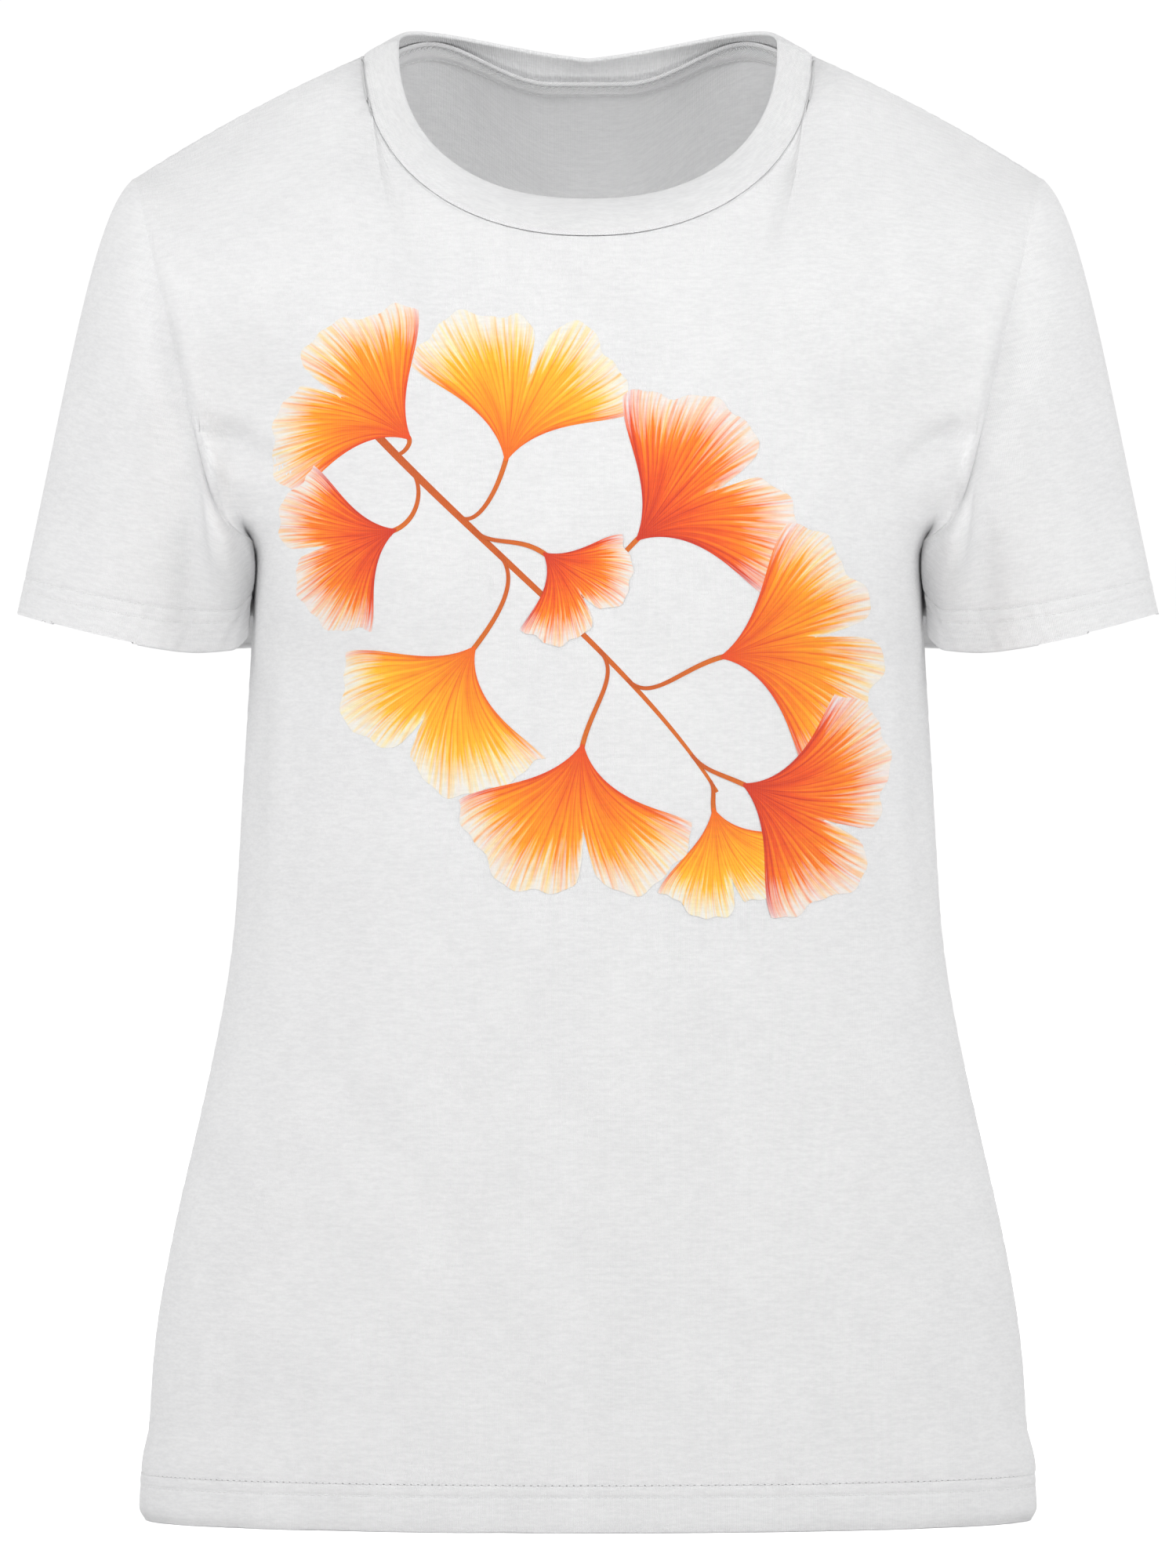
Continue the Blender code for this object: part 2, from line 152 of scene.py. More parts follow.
# --- The form under the cloth ---
@dataclass(frozen=True)
class TorsoForm:
    """Half ellipses stacked from the hem to the shoulders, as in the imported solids.

    The cloth differs from them in four places: its section is squarer beside the armpits and
    flatter below the shoulders, the front armholes are squarer at the bottom, and the back of
    the neckline rises before it reaches the neck points.
    """

    # the side seams, from the armpits down to the hem
    armpit_z: float = 0.432
    armpit_half: float = 0.1462
    side_taper: float = 0.0587
    flare: float = 0.0251
    flare_top_z: float = 0.275
    flare_low_z: float = 0.060
    hem: float = 0.020
    hem_step: float = 0.0024
    hem_step_reach: float = 2.2
    # depths of the chest and the back
    hem_depth: float = 0.096
    bust_z: float = 0.440
    bust_depth: float = 0.116
    front_crest_z: float = 0.657
    front_crest_power: float = 1.7
    front_crest_root: float = 0.62
    blade_z: float = 0.480
    blade_depth: float = 0.116
    lumbar_z: float = 0.270
    lumbar_depth: float = 0.093
    lumbar_reach: float = 0.130
    lumbar_fade: float = 0.1
    back_crest_z: float = 0.662
    back_crest_power: float = 3.0
    # the neckline and the shoulder seams
    neck_half: float = 0.0995
    neck_point_z: float = 0.6478
    inside_neck: float = 0.02
    shoulder_half: float = 0.200
    shoulder_slope: float = 0.43
    shoulder_rounding: float = 1.05
    front_drop: float = 0.0840
    back_drop: float = 0.0085
    seam_power: float = 2.15
    back_peak: float = 0.0186
    peak_from: float = 0.17
    peak_span: float = 0.60
    peak_fall: int = 5
    peak_hold: int = 6
    # the armholes, and how the section widens below them
    armhole_reach: float = 0.060
    armhole_lean: float = 0.74
    armhole_turn: float = 22.0
    armhole_square: float = 6.0
    armhole_square_from: float = 1.6
    opening_spread: float = 0.07
    opening_steps: int = 12
    opening_hold: int = 8
    opening_below_point: float = 0.04
    opening_fade: float = 0.06
    # the section's power beside the armpits and below the shoulders
    squarer_front: float = 0.9
    squarer_back: float = 0.3
    squarer_drop: float = 0.004
    squarer_reach: float = 0.034
    shoulder_flat: float = 0.46
    shoulder_flat_z: float = 0.535
    shoulder_flat_rise: float = 0.075
    # the panels' columns, and the hem's lowest millimetres
    neck_share: float = 0.375
    even_share: float = 0.85
    even_over: float = 0.15
    tuck_height: float = 0.007
    tuck_side: float = 0.0034
    tuck_front: float = 0.0008

    def section_power(self, z: Floats, back: bool) -> Floats:
        """Power of the section's superellipse at height z, 2 away from armpits and shoulders."""
        near = near_to(z - self.armpit_z + self.squarer_drop, self.squarer_reach)
        if back:
            return 2.0 + self.squarer_back * near
        high = smooth((z - self.shoulder_flat_z) / self.shoulder_flat_rise)
        return 2.0 + self.squarer_front * near - self.shoulder_flat * high

    def raised(self, points: Floats, x_top: Floats, z_top: Floats) -> Floats:
        """Lifts the back's points where the neckline rises before it reaches the neck points.

        Args:
            points: on the back's form.
            x_top: where the column of each point ends on the neckline.
            z_top: height of that end before it is lifted.

        Returns:
            The lifted points.
        """
        s = clamped(np.abs(x_top) / self.neck_half)
        rise = smooth((s - self.peak_from) / self.peak_span) * (1.0 - s**self.peak_fall)
        near = clamped((points[..., 2] - self.armpit_z) / (z_top - self.armpit_z))
        up = np.zeros_like(points)
        up[..., 2] = self.back_peak * rise * near**self.peak_hold
        return points + up

    def shoulder_z(self, x: Floats) -> Floats:
        """Height of the shoulder seam at half width x."""
        d = x - self.neck_half
        return self.neck_point_z - self.shoulder_slope * d - self.shoulder_rounding * d * d

    @property
    def shoulder_point_z(self) -> float:
        """Height of the shoulder point, where the sleeve's seam crosses the shoulder seam."""
        return float(self.shoulder_z(self.shoulder_half))

    @property
    def armhole_mid_z(self) -> float:
        """Middle height of the armhole."""
        return (self.shoulder_point_z + self.armpit_z) / 2.0

    @property
    def armhole_half_z(self) -> float:
        """Half the armhole's height."""
        return (self.shoulder_point_z - self.armpit_z) / 2.0

    def armhole_half(self, z: Floats) -> Floats:
        """Half width of the armhole seam at height z."""
        t = clamped((self.shoulder_point_z - z) / (self.shoulder_point_z - self.armpit_z))
        turn = self.armhole_lean * t + (1.0 - self.armhole_lean) * t**self.armhole_turn
        return self.shoulder_half - (self.shoulder_half - self.armpit_half) * turn

    def armhole_depth(self, z: Floats, back: bool | Floats) -> Floats:
        """How far the armhole seam stands in front of or behind the shoulder seam."""
        c = np.clip((z - self.armhole_mid_z) / self.armhole_half_z, -1.0, 1.0)
        low = smooth(-self.armhole_square_from * c)
        power = 2.0 + np.where(back, 0.0, self.armhole_square) * low
        return self.armhole_reach * (1.0 - np.abs(c) ** power) ** (1.0 / power)

    def front_depth(self, z: Floats) -> Floats:
        """Depth of the chest's half ellipse at height z."""
        low = self.hem_depth + (self.bust_depth - self.hem_depth) * smooth(z / self.bust_z)
        v = clamped((z - self.bust_z) / (self.front_crest_z - self.bust_z))
        upper = self.bust_depth * (1.0 - v**self.front_crest_power) ** self.front_crest_root
        return np.where(z < self.bust_z, low, upper)

    def back_depth(self, z: Floats) -> Floats:
        """Depth of the back's half ellipse at height z."""
        hollow = near_to(z - self.lumbar_z, self.lumbar_reach)
        straight = self.hem_depth + (self.blade_depth - self.hem_depth) * smooth(z / self.blade_z)
        reach = hollow * smooth((self.blade_z - z) / self.lumbar_fade)
        v = clamped((z - self.blade_z) / (self.back_crest_z - self.blade_z))
        upper = self.blade_depth * np.sqrt(1.0 - v**self.back_crest_power)
        return np.where(z < self.blade_z, straight - (straight - self.lumbar_depth) * reach, upper)

    def side_half(self, z: Floats) -> Floats:
        """Half width at the side seam."""
        side = self.armpit_half + self.side_taper * (self.armpit_z - z)
        rise = (self.flare_top_z - z) / (self.flare_top_z - self.flare_low_z)
        side = side + self.flare * smooth(rise)
        return side + self.hem_step * smooth((self.hem * self.hem_step_reach - z) / self.hem)

    def half_width(
        self, z: Floats, depth: Floats, power: Floats = 2.0, back: bool = False
    ) -> Floats:
        """Half width of the whole section at height z, given its depth and power there."""
        share = np.clip(self.armhole_depth(z, back) / np.maximum(depth, 1e-6), 0.0, 0.999)
        beside_arm = self.armhole_half(z) / (1.0 - share**power) ** (1.0 / power)
        xs = np.linspace(self.neck_half - self.inside_neck, self.shoulder_half, 200)
        along_shoulder = np.interp(-z, -self.shoulder_z(xs), xs)
        above = np.where(z < self.shoulder_point_z, beside_arm, along_shoulder)
        return np.where(z < self.armpit_z, self.side_half(z), above)

    def panel_half(self, z: Floats) -> Floats:
        """Half width of a panel at height z."""
        beside_arm = (z >= self.armpit_z) & (z < self.shoulder_point_z)
        return np.where(beside_arm, self.armhole_half(z), self.half_width(z, np.inf))

    def on_form(self, x: Floats, z: Floats, back: bool = False) -> Floats:
        """The form's point that lies straight behind (x, z) as seen from the front.

        Args:
            x: position across the shirt.
            z: height.
            back: whether the point is on the back and not on the chest.

        Returns:
            Points, the last axis being x, y and z.
        """
        profile = self.back_depth if back else self.front_depth
        depth, power = profile(z), self.section_power(z, back)
        width = self.half_width(z, depth, power, back)
        steps = (np.arange(self.opening_steps) + 0.5) / self.opening_steps
        shares = np.sin(math.pi * steps) / np.sin(math.pi * steps).sum()
        lower = z - self.opening_spread * steps.reshape(-1, *[1] * np.ndim(z))
        low_power = self.section_power(lower, back)
        low_width = self.half_width(lower, profile(lower), low_power, back)
        opening = low_width - self.side_half(lower)
        spread = self.side_half(z) + np.tensordot(shares, opening, axes=1)
        inwards = 1.0 - clamped(np.abs(x) / self.panel_half(z)) ** self.opening_hold
        top_z = self.shoulder_point_z - self.opening_below_point
        below_point = smooth((top_z - z) / self.opening_fade)
        width = width + (spread - width) * inwards * below_point
        share = clamped(np.abs(x) / width)
        y = depth * (1.0 - share**power) ** (1.0 / power)
        return stacked(x, y if back else -y, z)

    def top_of_column(self, u: Floats, back: bool) -> Pair:
        """Where a panel's column ends: on the neckline near the middle, else on the shoulder."""
        r = clamped((np.abs(u) - self.neck_share) / (1.0 - self.neck_share))
        shoulder_x = self.neck_half + (self.shoulder_half - self.neck_half) * r
        a = clamped(np.abs(u) / self.neck_share) * math.pi / 2
        drop = self.back_drop if back else self.front_drop
        on_neck = np.abs(u) < self.neck_share
        x = np.where(on_neck, self.neck_half * squarer(np.sin(a), self.seam_power), shoulder_x)
        neck_z = self.neck_point_z - drop * squarer(np.cos(a), self.seam_power)
        z = np.where(on_neck, neck_z, self.shoulder_z(shoulder_x))
        return np.sign(u) * x, z

    def panel_point(self, u: Floats, v: Floats, low_z: float, back: bool) -> Floats:
        """A panel's point.

        Args:
            u: from seam to seam, -1 to 1.
            v: from the hem's joint (0) by the armpit's level (1) to the top edge (2).
            low_z: height of the hem's joint.
            back: whether the panel is the back.

        Returns:
            Points on the form.
        """
        x_top, z_top = self.top_of_column(u, back)
        bent = self.even_share * smooth((v - 1.0) / self.even_over)
        share = np.sin(u * math.pi / 2) * (1.0 - bent) + u * bent
        rise = (1.0 - np.cos(clamped(v - 1.0) * math.pi)) / 2
        low_rows = low_z + (self.armpit_z - low_z) * v
        z = np.where(v < 1.0, low_rows, self.armpit_z + (z_top - self.armpit_z) * rise)
        low_x = share * self.side_half(z)
        high_x = share * self.armhole_half(z)
        high_x = high_x + (x_top - share * self.armhole_half(z_top)) * rise**2
        points = self.on_form(np.where(v < 1.0, low_x, high_x), z, back)
        return self.raised(points, x_top, z_top) if back else points

    def hem_point(self, angle: Floats, z: Floats) -> Floats:
        """The outside of the turned hem, whose lowest millimetres turn in."""
        tuck = (1.0 - clamped(z / self.tuck_height)) ** 2
        c, s = np.cos(angle), np.sin(angle)
        front = self.front_depth(z)
        depth = np.where(c > 0, front, self.back_depth(z))
        x = (self.half_width(z, front) - self.tuck_side * tuck) * s
        return stacked(x, -(depth - self.tuck_front * tuck) * c, z)

    def neck_seam(self, b: Floats) -> Floats:
        """The neckline seam, b = 0 at the middle of the chest and pi at the nape."""
        x = self.neck_half * squarer(np.sin(b), self.seam_power)
        c = squarer(np.cos(b), self.seam_power)
        z = self.neck_point_z - np.where(c > 0, self.front_drop, self.back_drop) * np.abs(c)
        front, back = self.on_form(x, z), self.on_form(x, z, back=True)
        return np.where((c > 0)[..., None], front, self.raised(back, x, z))


@dataclass(frozen=True)
class ArmForm:
    """The sleeve's form on the +X side, from the armhole seam to its open edge."""

    torso: TorsoForm
    # the open edge: its middle, its reach outwards, inwards and forwards, and its powers
    centre: Point = (0.1985, 0.001)
    out_half: float = 0.0546
    in_half: float = 0.0620
    deep_half: float = 0.0480
    square_front: float = 1.5
    square_back: float = 3.0
    square_from: float = 2.0
    # the open edge's height, and how its inner corner lifts and comes forward
    low_z: float = 0.3829
    low_at: float = -0.5
    rise: float = 0.0085
    rise_power: float = 1.5
    back_rise: float = 0.0030
    corner_rise: float = 0.0120
    corner_rise_at: Point = (-3.4, -2.6)
    corner_forward: float = 0.0030
    corner_forward_at: Point = (-3.0, -1.5)
    # how the cloth leaves the armhole and comes to the open edge
    over_shoulder: Place = (0.841, 0.0, -0.541)
    along_body: Place = (0.04, 0.0, -0.97)
    forward_turn: Place = (-0.04, -0.10, 0.0)
    under_arm: Place = (0.42, 0.0, -0.91)
    beside_from: float = 1.5
    arrive_under: Place = (-0.10, 0.0, 0.995)
    arrive_turn: Place = (-0.1164, 0.0, -0.019)
    corner_pull: float = 0.022
    cuff_pull: float = 0.110
    underarm_pull: float = 0.30
    clearance: float = 0.0022
    clearance_fade: float = 0.03

    def armhole_point(self, p: Floats) -> Floats:
        """The armhole seam, p = 0 at the shoulder point and pi / 2 at the front."""
        z = self.torso.armhole_mid_z + self.torso.armhole_half_z * np.cos(p)
        y = -self.torso.armhole_depth(z, np.sin(p) < 0) * np.sign(np.sin(p))
        return stacked(self.torso.armhole_half(z), y, z)

    def cuff_point(self, p: Floats) -> Floats:
        """The sleeve's open edge, with p as in armhole_point."""
        c, d = np.cos(p), np.sin(p)
        reach = np.where(c > 0, self.out_half, self.in_half)
        square = np.where(d > 0, self.square_front, self.square_back)
        power = 2.0 + (square - 2.0) * smooth(-self.square_from * c)
        spans = np.abs(c / reach) ** power + np.abs(d / self.deep_half) ** power
        radius = spans ** (-1.0 / power)
        across = radius * c / self.out_half
        z = self.low_z + self.rise * np.abs(across - self.low_at) ** self.rise_power
        z = z + self.back_rise * np.maximum(-d, 0.0)
        rising, coming = (
            smooth(slope * across + start)
            for slope, start in (self.corner_rise_at, self.corner_forward_at)
        )
        x, y = self.centre[0] + radius * c, self.centre[1] - radius * d
        y = y - self.corner_forward * coming
        return stacked(x, y, z + self.corner_rise * rising)

    def clear_of_body(self, points: Floats) -> Floats:
        """Moves what would touch the torso's side out to a small clearance from it."""
        x, y, z = points[..., 0], points[..., 1], points[..., 2]
        level = np.minimum(z, self.torso.armpit_z - 1e-4)
        front, back = self.torso.front_depth(level), self.torso.back_depth(level)
        depth = np.where(y < 0, front, back) + self.clearance
        width = self.torso.side_half(level) + self.clearance
        powers = [self.torso.section_power(level, side) for side in (False, True)]
        power = np.where(y < 0, *powers)
        inside = (np.abs(x / width) ** power + np.abs(y / depth) ** power) ** (1.0 / power)
        beside = 1.0 - smooth((z - self.torso.armpit_z) / self.clearance_fade)
        factor = 1.0 + (np.maximum(1.0 / inside, 1.0) - 1.0) * beside
        return stacked(x * factor, y * factor, z)

    def point(self, p: Floats, t: Floats) -> Floats:
        """The sleeve's outside, from the armhole (t = 0) to the open edge (t = 1)."""
        p0, p3 = self.armhole_point(p), self.cuff_point(p)
        length = np.linalg.norm(p3 - p0, axis=-1, keepdims=True)
        top = ((1.0 + np.cos(p)) / 2)[..., None] ** 2
        beside = smooth(-self.beside_from * np.cos(p))[..., None]
        forward = clamped(np.sin(p))[..., None]
        along_body = np.array(self.along_body) + forward * np.array(self.forward_turn)
        under_arm = np.array(self.under_arm) * (1.0 - beside) + along_body * beside
        leave = under_arm + (np.array(self.over_shoulder) - under_arm) * top
        arrive = np.array(self.arrive_under) + np.array(self.arrive_turn) * top
        under = self.underarm_pull * length
        p1 = p0 + leave * (under + (self.corner_pull - under) * top)
        p2 = p3 + arrive * (under + (self.cuff_pull - under) * top)
        t = np.asarray(t)[..., None]
        s = 1.0 - t
        curve = s**3 * p0 + 3 * s * s * t * p1 + 3 * s * t * t * p2 + t**3 * p3
        return self.clear_of_body(curve)

    def t_above_edge(self, p: Floats, distance: float) -> Floats:
        """t at this distance above the open edge, along the cloth."""
        ts = np.linspace(0.0, 1.0, 121)
        line = self.point(p[:, None] + 0.0 * ts, ts[None, :] + 0.0 * p[:, None])
        steps = np.linalg.norm(np.diff(line, axis=1), axis=2)
        to_edge = np.cumsum(steps[:, ::-1], axis=1)[:, ::-1]
        return np.array([np.interp(-distance, -row, ts[:-1]) for row in to_edge])


# --- Soft folds ---
@dataclass(frozen=True)
class SoftFold:
    """A long soft ridge or furrow, drawn between two points of the shirt's front view."""

    start: Point
    end: Point
    height: float
    width: float
    fade: float = 0.35

    def lift(self, x: Floats, z: Floats) -> Floats:
        """How far the fold moves the cloth outwards at (x, z)."""
        run = np.array(self.end) - np.array(self.start)
        length = float(np.hypot(*run))
        dx, dz = x - self.start[0], z - self.start[1]
        along = (dx * run[0] + dz * run[1]) / length**2
        across = (dx * run[1] - dz * run[0]) / length
        ends = smooth(along / self.fade) * smooth((1.0 - along) / self.fade)
        return self.height * near_to(across, self.width) * ends

    def mirrored(self, by: float = 0.94) -> "SoftFold":
        """The same fold on the other side of the shirt, a little different in height."""
        start, end = (-self.start[0], self.start[1]), (-self.end[0], self.end[1])
        return SoftFold(start, end, self.height * by, self.width, self.fade)


@dataclass(frozen=True)
class FoldMap:
    """All folds of one panel, with the faint unevenness of cloth that hangs."""

    folds: tuple[SoftFold, ...]
    uneven: float
    seed: int
    across: Lengths = (0.083, 0.057, 0.041)
    upwards: Lengths = (0.23, 0.14, 0.095)
    lean: Point = (0.35, 0.2)
    high_share: float = 0.45
    calm_from: float = 0.34
    calm_over: float = 0.3

    def lift(self, x: Floats, z: Floats) -> Floats:
        """How far the cloth stands out from the form at front-view position (x, z)."""
        total = sum((f.lift(x, z) for f in self.folds), np.zeros_like(x))
        waves = ripple(x + self.lean[0] * z, self.across, self.seed)
        waves = waves * ripple(z - self.lean[1] * x, self.upwards, self.seed + 1)
        low = smooth((self.calm_from - z) / self.calm_over)
        return total + self.uneven * waves * (self.high_share + (1.0 - self.high_share) * low)


def both_sides(*folds: SoftFold) -> tuple[SoftFold, ...]:
    """Each fold and its mirror image."""
    return tuple(g for f in folds for g in (f, f.mirrored()))


FRONT_FOLDS = FoldMap(
    both_sides(
        SoftFold((-0.182, 0.4845), (-0.140, 0.4750), -0.0034, 0.0045, 0.4),
        SoftFold((-0.168, 0.4815), (-0.126, 0.4590), -0.0036, 0.0050, 0.4),
        SoftFold((-0.182, 0.4690), (-0.134, 0.4500), 0.0026, 0.0070, 0.4),
        SoftFold((-0.184, 0.4950), (-0.120, 0.4730), 0.0012, 0.0110, 0.5),
        SoftFold((-0.196, 0.5720), (-0.152, 0.5200), -0.0011, 0.0070, 0.5),
        SoftFold((-0.139, 0.425), (-0.150, 0.235), -0.0011, 0.0042),
        SoftFold((-0.130, 0.415), (-0.142, 0.225), 0.0009, 0.0050),
        SoftFold((-0.119, 0.400), (-0.132, 0.250), -0.0007, 0.0055),
        SoftFold((-0.100, 0.370), (-0.118, 0.190), 0.0006, 0.0090),
        SoftFold((-0.150, 0.205), (-0.172, 0.060), -0.0008, 0.0085),
    ),
    uneven=0.00055,
    seed=11,
)

BACK_FOLDS = FoldMap(
    both_sides(
        SoftFold((-0.178, 0.488), (-0.120, 0.440), -0.0028, 0.0095, 0.5),
        SoftFold((-0.172, 0.460), (-0.110, 0.415), 0.0020, 0.0120, 0.5),
        SoftFold((-0.150, 0.330), (-0.060, 0.262), -0.0016, 0.0110, 0.5),
        SoftFold((-0.155, 0.300), (-0.050, 0.238), 0.0018, 0.0120, 0.5),
        SoftFold((-0.158, 0.255), (-0.080, 0.215), -0.0012, 0.0100, 0.5),
        SoftFold((-0.136, 0.230), (-0.158, 0.060), -0.0010, 0.0090),
        SoftFold((-0.080, 0.210), (-0.092, 0.050), 0.0009, 0.0130),
    ),
    uneven=0.0007,
    seed=23,
)


# --- Meshes ---
class KnitLay(Enum):
    """Which way the courses of a knit run over its piece."""

    ROWS = "along the grid's rows"
    ARM = "parallel to the arm's hem"
    TORSO = "level round the body and along the shoulders"


@dataclass
class Cloth:
    """One sheet of cloth as a grid of points on its face side.

    Attributes:
        grid: rows x columns x 3 points.
        ring: whether each row closes on itself.
        flip: whether the rows run clockwise as seen from the face side.
        thickness: of the cloth.
        lay: which way its courses run.
    """

    grid: Floats
    ring: bool
    flip: bool
    thickness: float
    lay: KnitLay = KnitLay.ROWS
    # how far a normal points up where courses begin to follow the shoulder
    shoulder_from: float = 0.35
    shoulder_over: float = 0.4
    # shares of the rows and the half columns past which texture is measured up the shoulder
    shoulder_rows: float = 0.72
    shoulder_column: float = 0.58
    neck_column: float = 0.24
    neck_blend: float = 0.16

    def faces(self) -> Pair:
        """The closed shell's quads.

        Returns:
            Vertex numbers, and for each corner its place in the texture table, whose last
            column repeats the first one of a ring.
        """
        rows, columns = self.grid.shape[:2]
        count, wide = rows * columns, columns + (1 if self.ring else 0)
        across = wide - 1
        i, j = np.meshgrid(np.arange(rows - 1), np.arange(across), indexing="ij")
        corner_rows = stacked(i, i, i + 1, i + 1).reshape(-1, 4)
        corner_columns = stacked(j, j + 1, j + 1, j).reshape(-1, 4)
        layers = np.zeros_like(corner_rows)
        outer = (corner_rows, corner_columns, layers)
        inner = (corner_rows[:, ::-1], corner_columns[:, ::-1], layers + 1)
        quads = [outer, inner]
        two = np.array([0, 0, 1, 1])
        for row, order in ((0, (1, 0, 0, 1)), (rows - 1, (0, 1, 1, 0))):
            corners = np.arange(across)[:, None] + np.array(order)
            quads.append((row + 0 * corners, corners, two + 0 * corners))
        if not self.ring:
            for column, order in ((0, (0, 1, 1, 0)), (columns - 1, (1, 0, 0, 1))):
                corners = np.arange(rows - 1)[:, None] + np.array(order)
                quads.append((corners, column + 0 * corners, two + 0 * corners))
        row, column, layer = (np.concatenate(part) for part in zip(*quads))
        vertex = layer * count + row * columns + column % columns
        place = layer * rows * wide + row * wide + column
        if self.flip:
            vertex, place = vertex[:, ::-1], place[:, ::-1]
        return vertex, place

    def texture(self) -> Floats:
        """Metres along the rows and along the columns, for the face side and then the inside."""
        grid, out = self.grid, normals_of(self.grid, self.ring, self.flip)
        if self.ring:
            grid = np.concatenate([grid, grid[:, :1]], axis=1)
            out = np.concatenate([out, out[:, :1]], axis=1)
        middle = grid.shape[1] // 2
        up = arcs(grid, axis=0)
        if self.lay is KnitLay.ROWS:
            along = arcs(grid, axis=1)
        elif self.lay is KnitLay.ARM:
            along = np.repeat(arcs(grid, axis=1)[-4:-3], len(grid), axis=0)
            up = up - up[-1:]
        else:
            course = self.courses(out)
            along = self.laid_out(course, 0.0 * up[:, middle])
            up = self.laid_out(np.cross(out, course), up[:, middle])
        along = along - along[:, middle][:, None]
        table = stacked(along, up).reshape(-1, 2)
        return np.concatenate([table, table * np.array([-1.0, 1.0])])

    def laid_out(self, way: Floats, at_middle: Floats) -> Floats:
        """Metres run in one direction of the flat cloth, summed along the rows.

        Past the neck points the highest rows are measured up the middle of each shoulder, so that
        the bend round the neckline doesn't shift one row against the next.

        Args:
            way: the direction at every point.
            at_middle: metres at the middle column.

        Returns:
            The metres at every point.
        """
        rows, columns = way.shape[:2]
        across = np.sum(np.diff(self.grid, axis=1) * unit(way[:, 1:] + way[:, :-1]), axis=-1)
        climb = np.sum(np.diff(self.grid, axis=0) * unit(way[1:] + way[:-1]), axis=-1)
        across = np.pad(np.cumsum(across, axis=1), ((0, 0), (1, 0)))
        climb = np.pad(np.cumsum(climb, axis=0), ((1, 0), (0, 0)))
        middle = columns // 2
        metres = across - across[:, [middle]] + at_middle[:, None]
        start = round(rows * self.shoulder_rows)
        from_middle = (np.arange(columns) - middle) / middle
        for side in (-1, 1):
            shoulder = middle + side * round(middle * self.shoulder_column)
            drift = metres[:, shoulder] - climb[:, shoulder]
            drift = np.where(np.arange(rows) > start, drift - drift[start], 0.0)
            outwards = smooth((side * from_middle - self.neck_column) / self.neck_blend)
            metres = metres - drift[:, None] * outwards
        return metres

    def courses(self, out: Floats) -> Floats:
        """The courses' direction at every point, given the normals there."""
        level = unit(np.cross(np.array([0.0, 0.0, 1.0]), out)) * (-1.0 if self.flip else 1.0)
        across = unit(np.array([1.0, 0.0, 0.0]) - out * out[..., :1])
        share = smooth((out[..., 2:] - self.shoulder_from) / self.shoulder_over)
        return unit(level + (across - level) * share)

    def piece(self, name: str, material: Material) -> Object:
        """Makes the closed shell as an object.

        Args:
            name: of the piece.
            material: its finish.

        Returns:
            The object, with its texture metres in a map named cloth.
        """
        inner = self.grid - normals_of(self.grid, self.ring, self.flip) * self.thickness
        points = np.concatenate([self.grid.reshape(-1, 3), inner.reshape(-1, 3)])
        vertex, place = self.faces()
        return make_piece(name, points, vertex, material, self.texture()[place.ravel()])


def make_piece(
    name: str,
    points: Floats,
    faces: Floats,
    material: Material,
    texture: Floats,
    map_name: str = "cloth",
) -> Object:
    """Makes a smooth mesh object and links it.

    Args:
        name: of the piece.
        points: its vertices.
        faces: vertex numbers, one row for each face.
        material: its finish.
        texture: two coordinates for each corner, in the order of the faces.
        map_name: of the map that holds them.

    Returns:
        The new object.
    """
    mesh = bpy.data.meshes.new(name)
    mesh.from_pydata(points.tolist(), [], faces.tolist())
    layer = mesh.uv_layers.new(name=map_name)
    layer.data.foreach_set("uv", texture.astype(np.float32).ravel())
    mesh.materials.append(material)
    mesh.shade_smooth()
    mesh.set_sharp_from_angle(angle=SHARP_ANGLE)
    obj = bpy.data.objects.new(name, mesh)
    bpy.context.scene.collection.objects.link(obj)
    return obj


def turned_under(
    grid: Floats, normals: Floats, radius: float, back_rows: int, ring: bool = True
) -> Floats:
    """A sheet folded back under itself past its last row.

    Args:
        grid: the face side, whose last row is where the fold begins.
        normals: its outward normals.
        radius: of the fold.
        back_rows: how many of the rows the turned part covers.
        ring: whether each row closes on itself.

    Returns:
        The grid with the fold's rows and the turned part's rows after it.
    """
    edge, out = grid[-1], normals[-1]
    closed = np.roll(edge, -1, axis=0) - np.roll(edge, 1, axis=0)
    onwards = np.cross(out, closed if ring else np.gradient(edge, axis=0))
    ahead = np.sum(onwards * (grid[-1] - grid[-2]), axis=-1, keepdims=True)
    onwards = unit(onwards) * np.where(np.median(ahead) < 0, -1.0, 1.0)
    turns = np.linspace(0.0, math.pi, FOLD_STEPS)[1:, None, None]
    fold = edge - out * radius + radius * (np.cos(turns) * out + np.sin(turns) * onwards)
    under = grid[::-1][1 : back_rows + 1] - normals[::-1][1 : back_rows + 1] * 2.0 * radius
    return np.concatenate([grid, fold, under])


def eased(grid: Floats, share: Floats, rounds: int) -> Floats:
    """Evens out a crease that runs across the grid's columns.

    Args:
        grid: rows x columns x 3 points.
        share: how freely each point may move, 0 to 1.
        rounds: how many times each point moves towards its neighbours' line.

    Returns:
        The eased grid.
    """
    grid = grid.copy()
    for _ in range(rounds):
        steps = np.linalg.norm(np.diff(grid, axis=0), axis=-1, keepdims=True)
        low, high = steps[:-1], steps[1:]
        mean = (grid[:-2] * high + grid[2:] * low) / (low + high)
        grid[1:-1] += 0.5 * share[1:-1, :, None] * (mean - grid[1:-1])
    return grid


# --- Threads ---
def joined(path: Floats, closed: bool) -> Floats:
    """A path with its first point repeated at its end if it is closed."""
    return np.concatenate([path, path[:1]]) if closed else path


